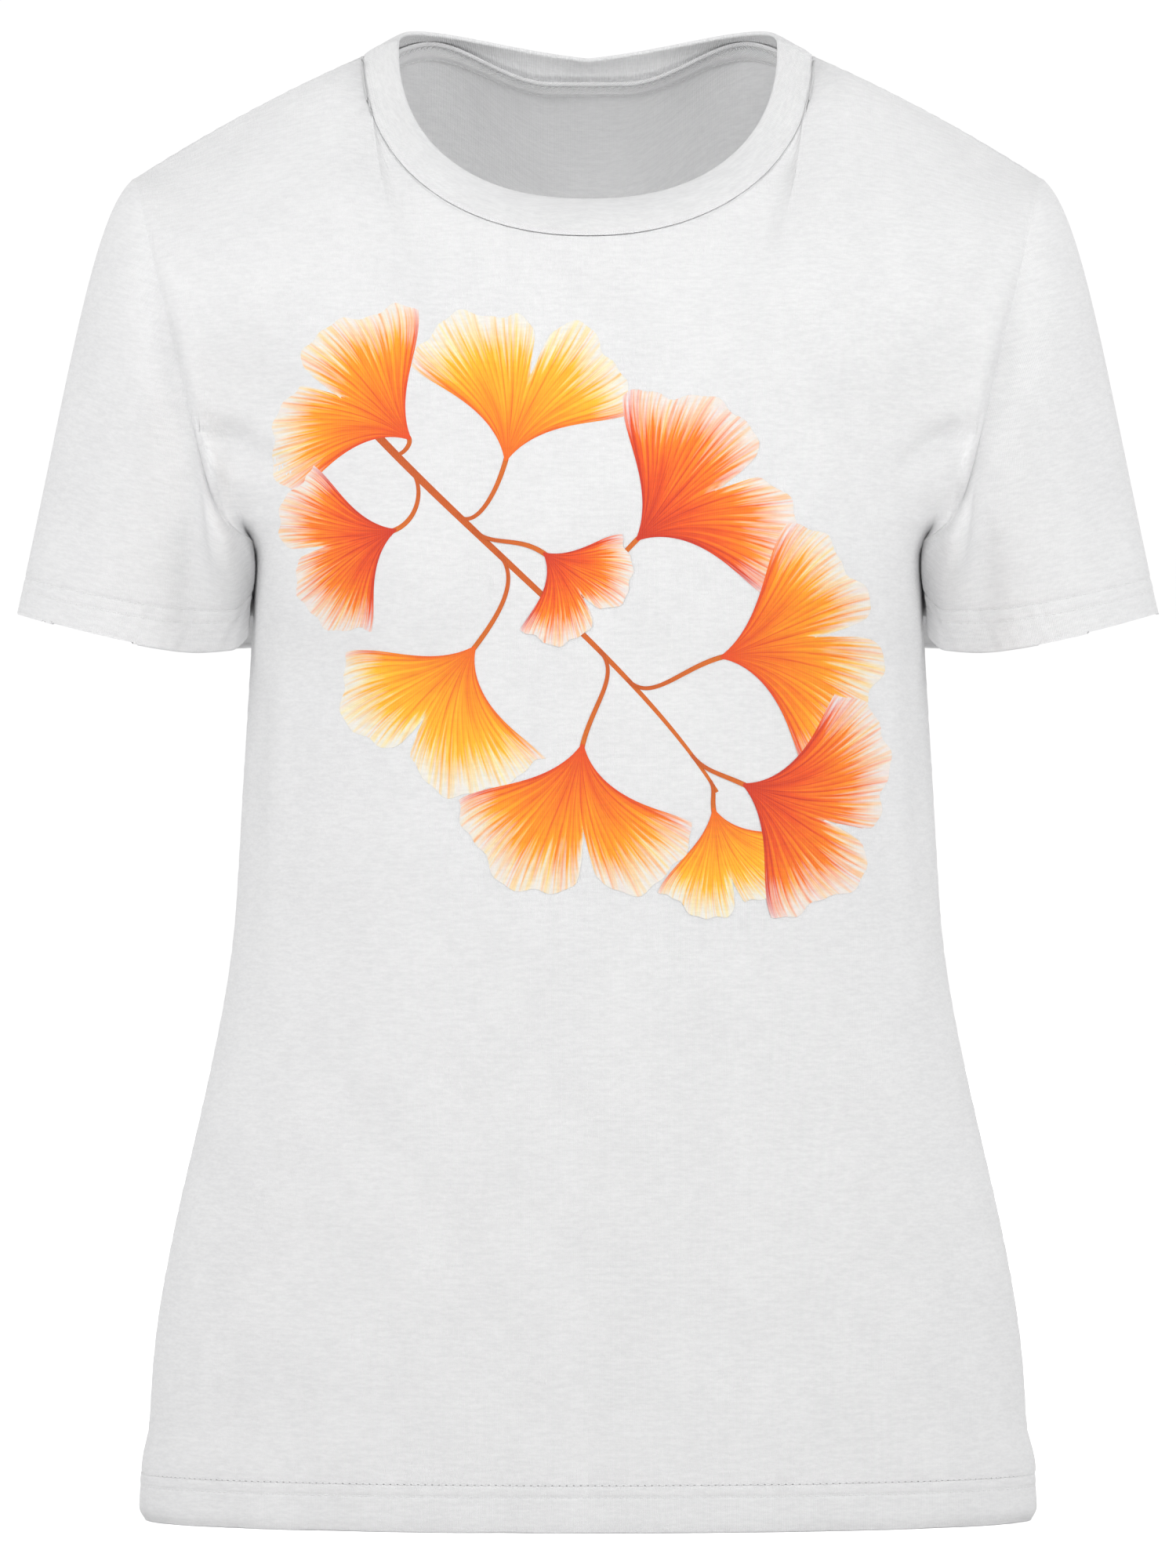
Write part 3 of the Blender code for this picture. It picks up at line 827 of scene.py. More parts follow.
def placed_along(path: Floats, out: Floats, at: Floats, closed: bool) -> Pair:
    """Points at these distances along a path on cloth, and the cloth's normals there."""
    path, out = joined(path, closed), joined(out, closed)
    s = lengths_of(path)
    line, up = (stacked(*(np.interp(at, s, axis) for axis in row.T)) for row in (path, out))
    return line, unit(up)


@dataclass(frozen=True)
class Thread:
    """Sewing thread, laid as separate stitches or as one zigzag."""

    radius: float = 0.00021
    stitch: float = 0.0026
    gap: float = 0.0005
    sides: int = 6
    flatness: Point = (1.15, 0.85)
    end_size: float = 0.45
    arch: Lengths = (-0.9, 0.35, 0.75, 0.75, 0.35, -0.9)
    swing_points: int = 6
    swing_round: float = 0.97
    swing_height: Point = (0.9, 0.35)

    def tubes(
        self, lines: Sequence[Floats], ups: Sequence[Floats]
    ) -> tuple[Floats, Floats, Floats]:
        """Round tubes along lines of points.

        Args:
            lines: each an n x 3 array.
            ups: the cloth's normals at those points.

        Returns:
            Points, faces and the texture of their corners.
        """
        turns = np.arange(self.sides) * TAU / self.sides
        points, faces, texture, start = [], [], [], 0
        for line, up in zip(lines, ups):
            run = unit(np.gradient(line, axis=0))
            side = unit(np.cross(run, up))
            top = np.cross(side, run)
            n = len(line)
            taper = np.ones(n)
            taper[0] = taper[-1] = self.end_size
            wide = self.radius * taper[:, None, None]
            circle = np.cos(turns)[None, :, None] * side[:, None] * self.flatness[0]
            circle = circle + np.sin(turns)[None, :, None] * top[:, None] * self.flatness[1]
            points.append((line[:, None] + circle * wide).reshape(-1, 3))
            i, j = np.meshgrid(np.arange(n - 1), np.arange(self.sides), indexing="ij")
            k = (j + 1) % self.sides
            quad = stacked(i, i, i + 1, i + 1) * self.sides + stacked(j, k, k, j)
            faces.append(quad.reshape(-1, 4) + start)
            u = lengths_of(line)[stacked(i, i, i + 1, i + 1)]
            v = stacked(j, j + 1, j + 1, j) / self.sides
            texture.append(stacked(u, v).reshape(-1, 2))
            start += n * self.sides
        return np.concatenate(points), np.concatenate(faces), np.concatenate(texture)

    def row(self, path: Floats, out: Floats, closed: bool) -> tuple[list[Floats], list[Floats]]:
        """Cuts a path into stitches that arch out of the cloth and sink in at their ends.

        Args:
            path: points on the cloth's face.
            out: its normals there.
            closed: whether the path ends where it starts.

        Returns:
            The stitches' lines and their normals.
        """
        length = lengths_of(joined(path, closed))[-1]
        count = max(1, int(round(length / (self.stitch + self.gap))))
        pitch = length / count
        share = (pitch - self.gap) / pitch
        arch = np.array(self.arch) * self.radius
        lines, ups = [], []
        for n in range(count):
            at = (n + 0.5 + share * np.linspace(-0.5, 0.5, len(arch))) * pitch
            line, up = placed_along(path, out, at, closed)
            lines.append(line + up * arch[:, None])
            ups.append(up)
        return lines, ups

    def rings(self, paths: Sequence[Pair]) -> tuple[list[Floats], list[Floats]]:
        """The stitches of several closed rows, each given as its path and its normals."""
        rows = [self.row(path, out, True) for path, out in paths]
        return sum((lines for lines, _ in rows), []), sum((ups for _, ups in rows), [])

    def zigzag(self, path: Floats, out: Floats, width: float, pitch: float, closed: bool) -> Pair:
        """A looper thread that swings from side to side of a path.

        Args:
            path: the middle of the zigzag on the cloth.
            out: the cloth's normals there.
            width: of the swing.
            pitch: length of one full swing.
            closed: whether the path ends where it starts.

        Returns:
            The thread's line and its normals.
        """
        length = lengths_of(joined(path, closed))[-1]
        swings = max(1, int(round(length / pitch)))
        at = np.linspace(0.0, length, swings * self.swing_points + 1)
        line, up = placed_along(path, out, at, closed)
        side = unit(np.cross(unit(np.gradient(line, axis=0)), up))
        phase = at / length * swings * TAU
        swing = np.arcsin(np.sin(phase) * self.swing_round) * 2.0 / math.pi
        level, bob = self.swing_height
        height = self.radius * (level + bob * np.cos(2.0 * phase))
        return line + side * swing[:, None] * width / 2 + up * height[:, None], up

    def piece(
        self, name: str, lines: Sequence[Floats], ups: Sequence[Floats], material: Material
    ) -> Object:
        """One object of all these threads."""
        points, faces, texture = self.tubes(lines, ups)
        return make_piece(name, points, faces, material, texture, "thread")


# --- Materials ---
class Nodes:
    """Places and links the nodes of one tree."""

    def __init__(self, tree: NodeTree) -> None:
        """Takes the tree that the nodes go into."""
        self.tree = tree

    def add(self, kind: str, settings: dict | None = None, **inputs) -> Node:
        """Adds a node.

        Args:
            kind: its bl_idname.
            settings: its properties.
            **inputs: values or sockets for its inputs, named with _ for a space.

        Returns:
            The node.
        """
        node = self.tree.nodes.new(kind)
        for key, value in (settings or {}).items():
            setattr(node, key, value)
        for key, value in inputs.items():
            self.feed(node.inputs[key.replace("_", " ")], value)
        return node

    def feed(self, socket: Socket, value: object) -> None:
        """Links a socket to an input, or sets the input's value."""
        if isinstance(value, Socket):
            self.tree.links.new(value, socket)
        else:
            socket.default_value = value

    def math(self, operation: str, *values: object, clamp: bool = False) -> Socket:
        """The result of a Math node."""
        node = self.tree.nodes.new("ShaderNodeMath")
        node.operation, node.use_clamp = operation, clamp
        for socket, value in zip(node.inputs, values):
            self.feed(socket, value)
        return node.outputs[0]

    def scaled(self, vector: object, by: Place) -> Socket:
        """A vector times three factors."""
        node = self.tree.nodes.new("ShaderNodeVectorMath")
        node.operation = "MULTIPLY"
        self.feed(node.inputs[0], vector)
        self.feed(node.inputs[1], by)
        return node.outputs[0]

    def noise(self, vector: object, detail: float = 2.0, roughness: float = 0.5) -> Socket:
        """The Factor of a noise at scale 1 in these coordinates."""
        node = self.add(
            "ShaderNodeTexNoise",
            {"noise_dimensions": "2D"},
            Vector=vector,
            Scale=1.0,
            Detail=detail,
            Roughness=roughness,
        )
        return node.outputs[0]

    def spread(
        self, value: object, low: float, high: float, to_low: float, to_high: float
    ) -> Socket:
        """A value moved from one range to another, clamped."""
        node = self.tree.nodes.new("ShaderNodeMapRange")
        for socket, given in zip(node.inputs, (value, low, high, to_low, to_high)):
            self.feed(socket, given)
        return node.outputs[0]

    def blend(self, factor: object, first: object, second: object, mode: str = "MIX") -> Socket:
        """Two colours mixed."""
        node = self.tree.nodes.new("ShaderNodeMix")
        node.data_type, node.blend_type = "RGBA", mode
        self.feed(node.inputs[0], factor)
        for socket, colour in zip(node.inputs[6:8], (first, second)):
            self.feed(socket, colour if isinstance(colour, Socket) else (*colour, 1.0))
        return node.outputs[2]

    def grey(self, value: object) -> Socket:
        """The grey of this brightness."""
        return self.add("ShaderNodeCombineColor", Red=value, Green=value, Blue=value).outputs[0]

    def shaken(self, value: object, noise: object, amount: float) -> Socket:
        """A value moved up and down by a noise."""
        return self.math("MULTIPLY_ADD", self.math("SUBTRACT", noise, 0.5), amount, value)

    def uv(self, name: str) -> Socket:
        """The coordinates of a mesh's map."""
        return self.add("ShaderNodeUVMap", {"uv_map": name}).outputs[0]

    def halves(self, vector: object) -> tuple[Socket, Socket]:
        """The first two parts of a vector."""
        split = self.add("ShaderNodeSeparateXYZ", Vector=vector)
        return split.outputs[0], split.outputs[1]

    def ramp(self, factor: object, stops: Sequence[tuple[float, Colour]]) -> Socket:
        """Colours read along a ramp."""
        node = self.add("ShaderNodeValToRGB", Fac=factor)
        elements = node.color_ramp.elements
        while len(elements) < len(stops):
            elements.new(0.5)
        for element, (at, colour) in zip(elements, stops):
            element.position, element.color = at, (*colour, 1.0)
        return node.outputs[0]


def new_group(
    name: str, inputs: dict[str, object], outputs: Sequence[str]
) -> tuple[Nodes, Node, Node]:
    """Starts a shader node group.

    Args:
        name: of the group.
        inputs: name and default of each input; None makes a vector.
        outputs: name of each output.

    Returns:
        Its nodes, its input node and its output node.
    """
    tree = bpy.data.node_groups.new(name, "ShaderNodeTree")
    for key, default in inputs.items():
        kind = "NodeSocketVector" if default is None else "NodeSocketFloat"
        socket = tree.interface.new_socket(key, in_out="INPUT", socket_type=kind)
        if default is not None:
            socket.default_value = default
    for key in outputs:
        tree.interface.new_socket(key, in_out="OUTPUT", socket_type="NodeSocketFloat")
    nodes = Nodes(tree)
    return nodes, nodes.add("NodeGroupInput"), nodes.add("NodeGroupOutput")


class Effects:
    """The node groups that the finishes share, each built once."""

    def __init__(self) -> None:
        """Builds every group."""
        self.jersey = self._jersey_loops()
        self.rib = self._rib_loops()
        self.slub = self._slub()
        self.soft_tone = self._soft_tone()

    @staticmethod
    def _jersey_loops() -> NodeTree:
        """The V-shaped loops of plain jersey, from texture metres."""
        nodes, given, made = new_group(
            "jersey_loops",
            {"Metres": None, "Wale": 0.0008, "Course": 0.0006},
            ("Height", "Gap"),
        )
        across, up = nodes.halves(given.outputs["Metres"])
        wale = nodes.math("DIVIDE", across, given.outputs["Wale"])
        course = nodes.math("DIVIDE", up, given.outputs["Course"])
        centred = nodes.math("SUBTRACT", nodes.math("FRACT", wale), 0.5)
        off = nodes.math("MULTIPLY", nodes.math("ABSOLUTE", centred), 2.0)
        phase = nodes.math("MULTIPLY", nodes.math("SUBTRACT", course, off), TAU)
        leg = nodes.math("MULTIPLY_ADD", nodes.math("COSINE", phase), 0.5, 0.5)
        crown = nodes.math("SUBTRACT", 1.0, nodes.math("POWER", off, 3.0))
        height = nodes.math("MULTIPLY", crown, nodes.math("MULTIPLY_ADD", leg, 0.6, 0.4))
        nodes.feed(made.inputs["Height"], height)
        nodes.feed(made.inputs["Gap"], nodes.math("SUBTRACT", 1.0, height, clamp=True))
        return nodes.tree

    @staticmethod
    def _rib_loops() -> NodeTree:
        """Upright ribs with the loops' small steps on them."""
        nodes, given, made = new_group(
            "rib_loops",
            {"Metres": None, "Rib": 0.0011, "Course": 0.0006},
            ("Height", "Gap"),
        )
        across, up = nodes.halves(given.outputs["Metres"])
        rib = nodes.math("DIVIDE", across, given.outputs["Rib"])
        course = nodes.math("DIVIDE", up, given.outputs["Course"])
        wave = nodes.math("COSINE", nodes.math("MULTIPLY", rib, TAU))
        round_rib = nodes.math("MULTIPLY_ADD", wave, 0.5, 0.5)
        lean = nodes.math("MULTIPLY", wave, 0.35)
        step = nodes.math("COSINE", nodes.math("MULTIPLY", nodes.math("ADD", course, lean), TAU))
        height = nodes.math("MULTIPLY_ADD", step, 0.12, nodes.math("MULTIPLY", round_rib, 0.88))
        nodes.feed(made.inputs["Height"], height)
        nodes.feed(made.inputs["Gap"], nodes.math("SUBTRACT", 1.0, round_rib, clamp=True))
        return nodes.tree

    @staticmethod
    def _slub() -> NodeTree:
        """Short streaks along the courses where the yarn is a little thicker or thinner."""
        nodes, given, made = new_group(
            "slub_streaks", {"Metres": None}, ("Streak",)
        )
        metres = given.outputs["Metres"]
        long = nodes.noise(nodes.scaled(metres, (110.0, 560.0, 0.0)), 2.0, 0.6)
        short = nodes.noise(nodes.scaled(metres, (390.0, 950.0, 0.0)), 1.0, 0.5)
        mixed = nodes.math("MULTIPLY_ADD", long, 0.6, nodes.math("MULTIPLY", short, 0.4))
        nodes.feed(made.inputs["Streak"], nodes.spread(mixed, 0.34, 0.66, 0.0, 1.0))
        return nodes.tree

    @staticmethod
    def _soft_tone() -> NodeTree:
        """Faint cloudy differences over some centimetres."""
        nodes, given, made = new_group(
            "soft_tone", {"Metres": None, "Size": 0.03}, ("Cloud",)
        )
        scale = nodes.math("DIVIDE", 1.0, given.outputs["Size"])
        node = nodes.add(
            "ShaderNodeTexNoise",
            {"noise_dimensions": "2D"},
            Vector=given.outputs["Metres"],
            Scale=scale,
            Detail=3.0,
        )
        nodes.feed(made.inputs["Cloud"], nodes.spread(node.outputs[0], 0.3, 0.7, 0.0, 1.0))
        return nodes.tree


def dye(nodes: Nodes, shader: Node, colour: Socket, rough: Socket, **relief) -> None:
    """Gives a shader its colour, its roughness and a bump with these inputs."""
    bump = nodes.add("ShaderNodeBump", **relief).outputs[0]
    for key, value in (("Base Color", colour), ("Roughness", rough), ("Normal", bump)):
        nodes.feed(shader.inputs[key], value)


def start_material(name: str) -> tuple[Material, Nodes, Node]:
    """A material with a Principled BSDF.

    Args:
        name: of the material.

    Returns:
        The material, its nodes and its shader.
    """
    material = bpy.data.materials.new(name)
    material.use_nodes = True
    return material, Nodes(material.node_tree), material.node_tree.nodes["Principled BSDF"]


def place(nodes: Nodes, group: NodeTree, **inputs) -> Node:
    """Places a shared effect with this material's own values."""
    return nodes.add("ShaderNodeGroup", {"node_tree": group}, **inputs)


class KnitKind(Enum):
    """How a cloth is knitted."""

    JERSEY = "jersey"
    RIB = "rib"


@dataclass(frozen=True)
class KnitFinish:
    """Matt white cotton knit, with loops, slubs and a faint cloudy tone, and painted shade that
    darkens the gaps between its loops and ribs.
    """

    name: str
    kind: KnitKind = KnitKind.JERSEY
    light: Colour = (0.876, 0.876, 0.879)
    shade: Colour = (0.784, 0.784, 0.790)
    # painted shade: the colour of the gaps between the loops and ribs, where shade falls, and how
    # far it is mixed in
    painted_gap_shade: Colour = (0.74, 0.74, 0.75)
    painted_gap_shade_share: float = 0.16
    roughness: float = 0.92
    bump: float = 0.00022
    sheen: float = 0.06

    def material(self, effects: Effects) -> Material:
        """Builds the finish.

        Args:
            effects: the shared groups.

        Returns:
            The material.
        """
        material, nodes, shader = start_material(self.name)
        metres = nodes.uv("cloth")
        knit = effects.rib if self.kind is KnitKind.RIB else effects.jersey
        loops = place(nodes, knit, Metres=metres)
        streak = place(nodes, effects.slub, Metres=metres).outputs[0]
        cloud = place(nodes, effects.soft_tone, Metres=metres).outputs[0]
        yarn = nodes.math("MULTIPLY_ADD", streak, 0.72, nodes.math("MULTIPLY", cloud, 0.28))
        colour = nodes.blend(yarn, self.shade, self.light)
        # painted shade: the gaps between the loops and ribs are painted darker, as the shade that
        # falls in them
        gap = nodes.math("MULTIPLY", loops.outputs["Gap"], self.painted_gap_shade_share)
        colour = nodes.blend(gap, colour, self.painted_gap_shade)
        rough = nodes.spread(yarn, 0.0, 1.0, self.roughness + 0.05, self.roughness - 0.06)
        height = nodes.math("MULTIPLY_ADD", streak, 0.35, loops.outputs["Height"])
        dye(nodes, shader, colour, rough, Height=height, Strength=0.7, Distance=self.bump)
        shader.inputs["Specular IOR Level"].default_value = CLOTH_SPECULAR
        shader.inputs["Sheen Weight"].default_value = self.sheen
        shader.inputs["Sheen Roughness"].default_value = 0.5
        return material


@dataclass(frozen=True)
class TapeFinish:
    """White twill tape with a diagonal weave, painted lighter on the weave's ridges and darker in
    its grooves as light and shade, with a faint cloudy tone.
    """

    name: str = "twill_tape_white"
    light: Colour = (0.88, 0.88, 0.88)
    shade: Colour = (0.76, 0.76, 0.77)
    pitch: float = 0.0011
    bump: float = 0.00025

    def material(self, effects: Effects) -> Material:
        """Builds the finish."""
        material, nodes, shader = start_material(self.name)
        metres = nodes.uv("cloth")
        slant = nodes.math("ADD", *nodes.halves(metres))
        wave = nodes.math("SINE", nodes.math("MULTIPLY", slant, TAU / self.pitch))
        height = nodes.math("MULTIPLY_ADD", wave, 0.5, 0.5)
        cloud = place(nodes, effects.soft_tone, Metres=metres, Size=0.012).outputs[0]
        # painted light and shade: the colour follows the weave's ridges, lighter on top and darker
        # in the grooves, mixed with a random cloudy tone
        tone = nodes.math("MULTIPLY_ADD", height, 0.65, nodes.math("MULTIPLY", cloud, 0.35))
        colour = nodes.blend(tone, self.shade, self.light)
        rough = nodes.spread(tone, 0.0, 1.0, 0.9, 0.74)
        dye(nodes, shader, colour, rough, Height=height, Strength=0.8, Distance=self.bump)
        return material


@dataclass(frozen=True)
class ThreadFinish:
    """Twisted white polyester thread with a slight gloss, painted lighter on its plies and darker
    between them as light and shade.
    """

    name: str = "sewing_thread_white"
    light: Colour = (0.90, 0.90, 0.90)
    shade: Colour = (0.70, 0.70, 0.71)
    twist: float = 0.0007
    bump: float = 0.00012

    def material(self) -> Material:
        """Builds the finish."""
        material, nodes, shader = start_material(self.name)
        along, around = nodes.halves(nodes.uv("thread"))
        turns = nodes.math("ADD", nodes.math("DIVIDE", along, self.twist), around)
        wave = nodes.math("SINE", nodes.math("MULTIPLY", turns, TAU))
        ply = nodes.math("MULTIPLY_ADD", wave, 0.5, 0.5)
        # painted light and shade: the colour follows the twist, lighter on the plies and darker in
        # the grooves between them
        colour = nodes.blend(ply, self.shade, self.light)
        rough = nodes.spread(ply, 0.0, 1.0, 0.62, 0.42)
        dye(nodes, shader, colour, rough, Height=ply, Strength=0.8, Distance=self.bump)
        shader.inputs["Sheen Weight"].default_value = 0.1
        return material


@dataclass(frozen=True)
class InkFinish:
    """Ink in the face of the knit: radial veins, deeper at a leaf's base and pale at its rim."""

    name: str
    deep: Colour
    middle: Colour
    bright: Colour
    pale: Colour
    cloth: Colour = (0.845, 0.845, 0.848)
    veins: float = 15.0
    reach: float = 0.88
    bump: float = 0.00016

    def material(self, effects: Effects) -> Material:
        """Builds the finish for meshes whose map leaf holds (side to side, base to rim)."""
        material, nodes, shader = start_material(self.name)
        leaf, metres = nodes.uv("leaf"), nodes.uv("cloth")
        side, out = nodes.halves(leaf)
        streak = nodes.noise(nodes.scaled(leaf, (14.0, 1.6, 0.0)), 4.0, 0.62)
        fine = nodes.noise(nodes.scaled(leaf, (46.0, 2.4, 0.0)), 2.0, 0.5)
        wander = nodes.math("MULTIPLY_ADD", streak, 0.9, nodes.math("MULTIPLY", side, self.veins))
        turn = nodes.math("MULTIPLY", wander, math.pi / 2)
        coarse = nodes.math("ABSOLUTE", nodes.math("SINE", turn))
        vein = nodes.spread(coarse, 0.0, 0.42, 1.0, 0.0)
        between = nodes.math("ABSOLUTE", nodes.math("COSINE", turn))
        later = nodes.spread(between, 0.0, 0.36, 1.0, 0.0)
        later = nodes.math("MULTIPLY", later, nodes.spread(out, 0.42, 0.62, 0.0, 1.0))
        veins = nodes.math("MAXIMUM", vein, later)
        edge = nodes.spread(nodes.math("ABSOLUTE", side), 0.86, 1.0, 0.0, 0.42)
        grade = nodes.shaken(out, streak, 0.75)
        grade = nodes.math("SUBTRACT", grade, nodes.math("MULTIPLY", veins, 0.26))
        grade = nodes.math("SUBTRACT", grade, edge)
        grade = nodes.shaken(grade, fine, 0.22)
        stops = [(0.04, self.deep), (0.36, self.middle), (0.70, self.bright), (1.0, self.pale)]
        ink = nodes.ramp(grade, stops)
        fade_at = nodes.shaken(out, fine, 0.55)
        fade = nodes.spread(fade_at, self.reach - 0.16, self.reach + 0.14, 0.0, 0.86)
        colour = nodes.blend(fade, ink, self.cloth)
        slub = place(nodes, effects.slub, Metres=metres).outputs[0]
        loops = place(nodes, effects.jersey, Metres=metres)
        speck = nodes.math("MULTIPLY", loops.outputs["Gap"], 0.07)
        colour = nodes.blend(speck, colour, self.cloth)
        tint = nodes.grey(nodes.spread(slub, 0.0, 1.0, 0.93, 1.0))
        colour = nodes.blend(1.0, colour, tint, "MULTIPLY")
        rough, height = nodes.spread(grade, 0.0, 1.0, 0.72, 0.9), loops.outputs["Height"]
        dye(nodes, shader, colour, rough, Height=height, Strength=0.5, Distance=self.bump)
        shader.inputs["Specular IOR Level"].default_value = CLOTH_SPECULAR
        return material


# --- Sewn pieces ---
@dataclass(frozen=True)
class SeamStyle:
    """How a sewn edge dips in and folds under itself, its allowance pressed open.

    Attributes:
        roll: how far the cloth dips at its edge.
        roll_width: over what distance it dips.
        near: distances from the seam of the first rows of points.
        radius: of the fold at the edge.
        turned: how many rows the allowance covers.
        pucker: height of the waves that the stitches draw in.
        pucker_reach: how far from the seam they fade.
        tuck: how far back the armhole's seam lies in front.
        tuck_low: where above the armpit it begins, and over what height.
        tuck_high: where below the shoulder point it ends, and over what height.
        tuck_panel: over what distance the chest's cloth rolls over it.
        tuck_sleeve: over what distance the sleeve's cloth comes out from under it.
        swell: how far the chest's cloth swells beside it.
    """

    roll: float = 0.0002
    roll_width: float = 0.0009
    near: Lengths = (0.00035, 0.0006, 0.0010, 0.0015, 0.0022, 0.0033)
    radius: float = 0.0006
    turned: int = 7
    pucker: float = 0.00013
    pucker_reach: float = 0.006
    tuck: float = 0.0060
    tuck_low: Point = (0.004, 0.022)
    tuck_high: Point = (0.030, 0.060)
    tuck_panel: float = 0.0034
    tuck_sleeve: float = 0.0190
    swell: float = 0.0018

    def tuck_at(self, form: TorsoForm, z: Floats) -> Floats:
        """How far back the front armhole seam lies at height z."""
        above, below = self.tuck_low[0], self.tuck_high[0]
        from_armpit = smooth((z - form.armpit_z - above) / self.tuck_low[1])
        from_point = smooth((form.shoulder_point_z - below - z) / self.tuck_high[1])
        return self.tuck * from_armpit * from_point


SEAM = SeamStyle()
# a panel meets its turned hem at this height, in the upper row of stitches
HEM_JOINT_Z = 0.0207
HEM_DIP = 0.00013
HEM_DIP_WIDTH = 0.0007
CUFF_DIP = 0.00042
CUFF_DIP_WIDTH = 0.0009
# distances from such a joint of the first rows of points on either side
JOINT_ROWS = np.array([0.0, 0.0003, 0.0007, 0.0012])
LOOPER_PITCH = 0.0034


@dataclass
class Panel:
    """The front or the back of the torso."""

    name: str
    back: bool
    form: TorsoForm
    folds: FoldMap
    neck_columns: int = 34
    shoulder_columns: int = 52
    shoulder_width: float = 0.150
    low_rows: int = 132
    high_rows: int = 62
    thickness: float = 0.0006
    # where the form is evened out: round the armpits and at the shoulder points
    armpit_above: float = 0.006
    armpit_reach: float = 0.034
    point_reach: float = 0.040
    point_share: float = 0.8
    point_side: Point = (0.112, 0.055)
    evened_past: float = 0.011
    evenings: int = 90
    # how near a seam holds the folds and the stitches' waves, and the waves' lengths
    fold_hold: float = 0.005
    wave_hold: float = 0.001
    hem_waves_reach: float = 0.006
    side_waves: Lengths = (0.0065, 0.0094, 0.0128)
    top_waves: Lengths = (0.0061, 0.0087)
    swell_at: float = 0.010
    swell_width: float = 0.0075

    def columns(self) -> Floats:
        """u of the columns, closer together at the seams and exact at the neck points."""
        neck = np.linspace(0.0, self.form.neck_share, self.neck_columns)
        near = 1.0 - np.array(SEAM.near)[::-1] / self.shoulder_width
        shoulder = np.linspace(self.form.neck_share, near[0], self.shoulder_columns)[1:-1]
        half = np.concatenate([neck, shoulder, near])
        return np.concatenate([-half[:0:-1], half])

    def heights(self, u: Floats) -> Floats:
        """v of every point: rows x columns, even along the cloth and closer at its edges."""
        low_z = HEM_JOINT_Z
        span = self.form.armpit_z - low_z
        near_low = np.array(SEAM.near) / span
        low = np.concatenate([near_low, np.linspace(near_low[-1], 1.0, self.low_rows)[1:]])
        dense = np.linspace(1.0, 2.0, 400)
        uu, vv = np.meshgrid(u, dense)
        lengths = arcs(self.form.panel_point(uu, vv, low_z, self.back), axis=0)
        near = np.array(SEAM.near)[::-1]
        even = np.linspace(0.0, 1.0, self.high_rows)[1:]
        high = []
        for j in range(len(u)):
            total = lengths[-1, j]
            at = np.concatenate([even * (total - near[0]), total - near[1:]])
            high.append(np.interp(at, lengths[:, j], dense))
        return np.concatenate([np.repeat(low[:, None], len(u), axis=1), np.array(high).T])

    def evened_share(self, grid: Floats) -> Floats:
        """How far each point of the form is evened out, 0 to 1."""
        along = arcs(grid, axis=1)
        to_side = np.minimum(along, along[:, -1:] - along)
        height = grid[..., 2]
        at_armpit = near_to(height - self.form.armpit_z - self.armpit_above, self.armpit_reach)
        at_point = near_to(height - self.form.shoulder_point_z, self.point_reach)
        start, over = self.point_side
        at_point = self.point_share * at_point * smooth((np.abs(grid[..., 0]) - start) / over)
        return np.maximum(at_armpit, at_point) * (1.0 - near_to(to_side, self.evened_past))

    def grid(self) -> Floats:
        """The face side with folds, rolled seams and seam allowances."""
        u = self.columns()
        v = self.heights(u)
        grid = self.form.panel_point(u + 0.0 * v, v, HEM_JOINT_Z, self.back)
        grid = eased(grid, self.evened_share(grid), self.evenings)
        out = normals_of(grid, False, self.back)
        along, up = arcs(grid, axis=1), arcs(grid, axis=0)
        to_side = np.minimum(along, along[:, -1:] - along)
        to_top, to_low = up[-1:] - up, up
        free = (1.0 - near_to(to_side, self.fold_hold)) * (1.0 - near_to(to_top, self.fold_hold))
        lift = self.folds.lift(grid[..., 0], grid[..., 2]) * free
        pucker = ripple(up, self.side_waves, 5) * np.exp(-to_side / SEAM.pucker_reach)
        pucker = pucker + ripple(along, self.top_waves, 6) * np.exp(-to_top / SEAM.pucker_reach)
        at_hem = np.exp(-to_low / self.hem_waves_reach)
        pucker = pucker + hem_pucker(grid[..., 0], self.back) * at_hem
        lift = lift + SEAM.pucker * pucker * (1.0 - near_to(to_side, self.wave_hold))
        lift = lift - HEM_DIP * near_to(to_low, HEM_DIP_WIDTH)
        lift = lift - SEAM.roll * near_to(np.minimum(to_side, to_top), SEAM.roll_width)
        shaped = grid + out * lift[..., None]
        if not self.back:
            tuck = SEAM.tuck_at(self.form, grid[..., 2])
            swell = near_to(to_side - self.swell_at, self.swell_width)
            swell = swell * tuck * SEAM.swell / SEAM.tuck
            shaped[..., 1] += tuck * near_to(to_side, SEAM.tuck_panel) - swell
        self.face = shaped
        sides = [np.swapaxes(shaped, 0, 1), np.swapaxes(out, 0, 1)]
        right = turned_under(*sides, SEAM.radius, SEAM.turned, False)[len(u) :]
        opposite = [side[::-1] for side in sides]
        left = turned_under(*opposite, SEAM.radius, SEAM.turned, False)[len(u) :]
        wide = np.swapaxes(np.concatenate([left[::-1], sides[0], right]), 0, 1)
        out = np.pad(out, ((0, 0), (len(left), len(right)), (0, 0)), mode="edge")
        return turned_under(wide, out, SEAM.radius, SEAM.turned - 2, False)

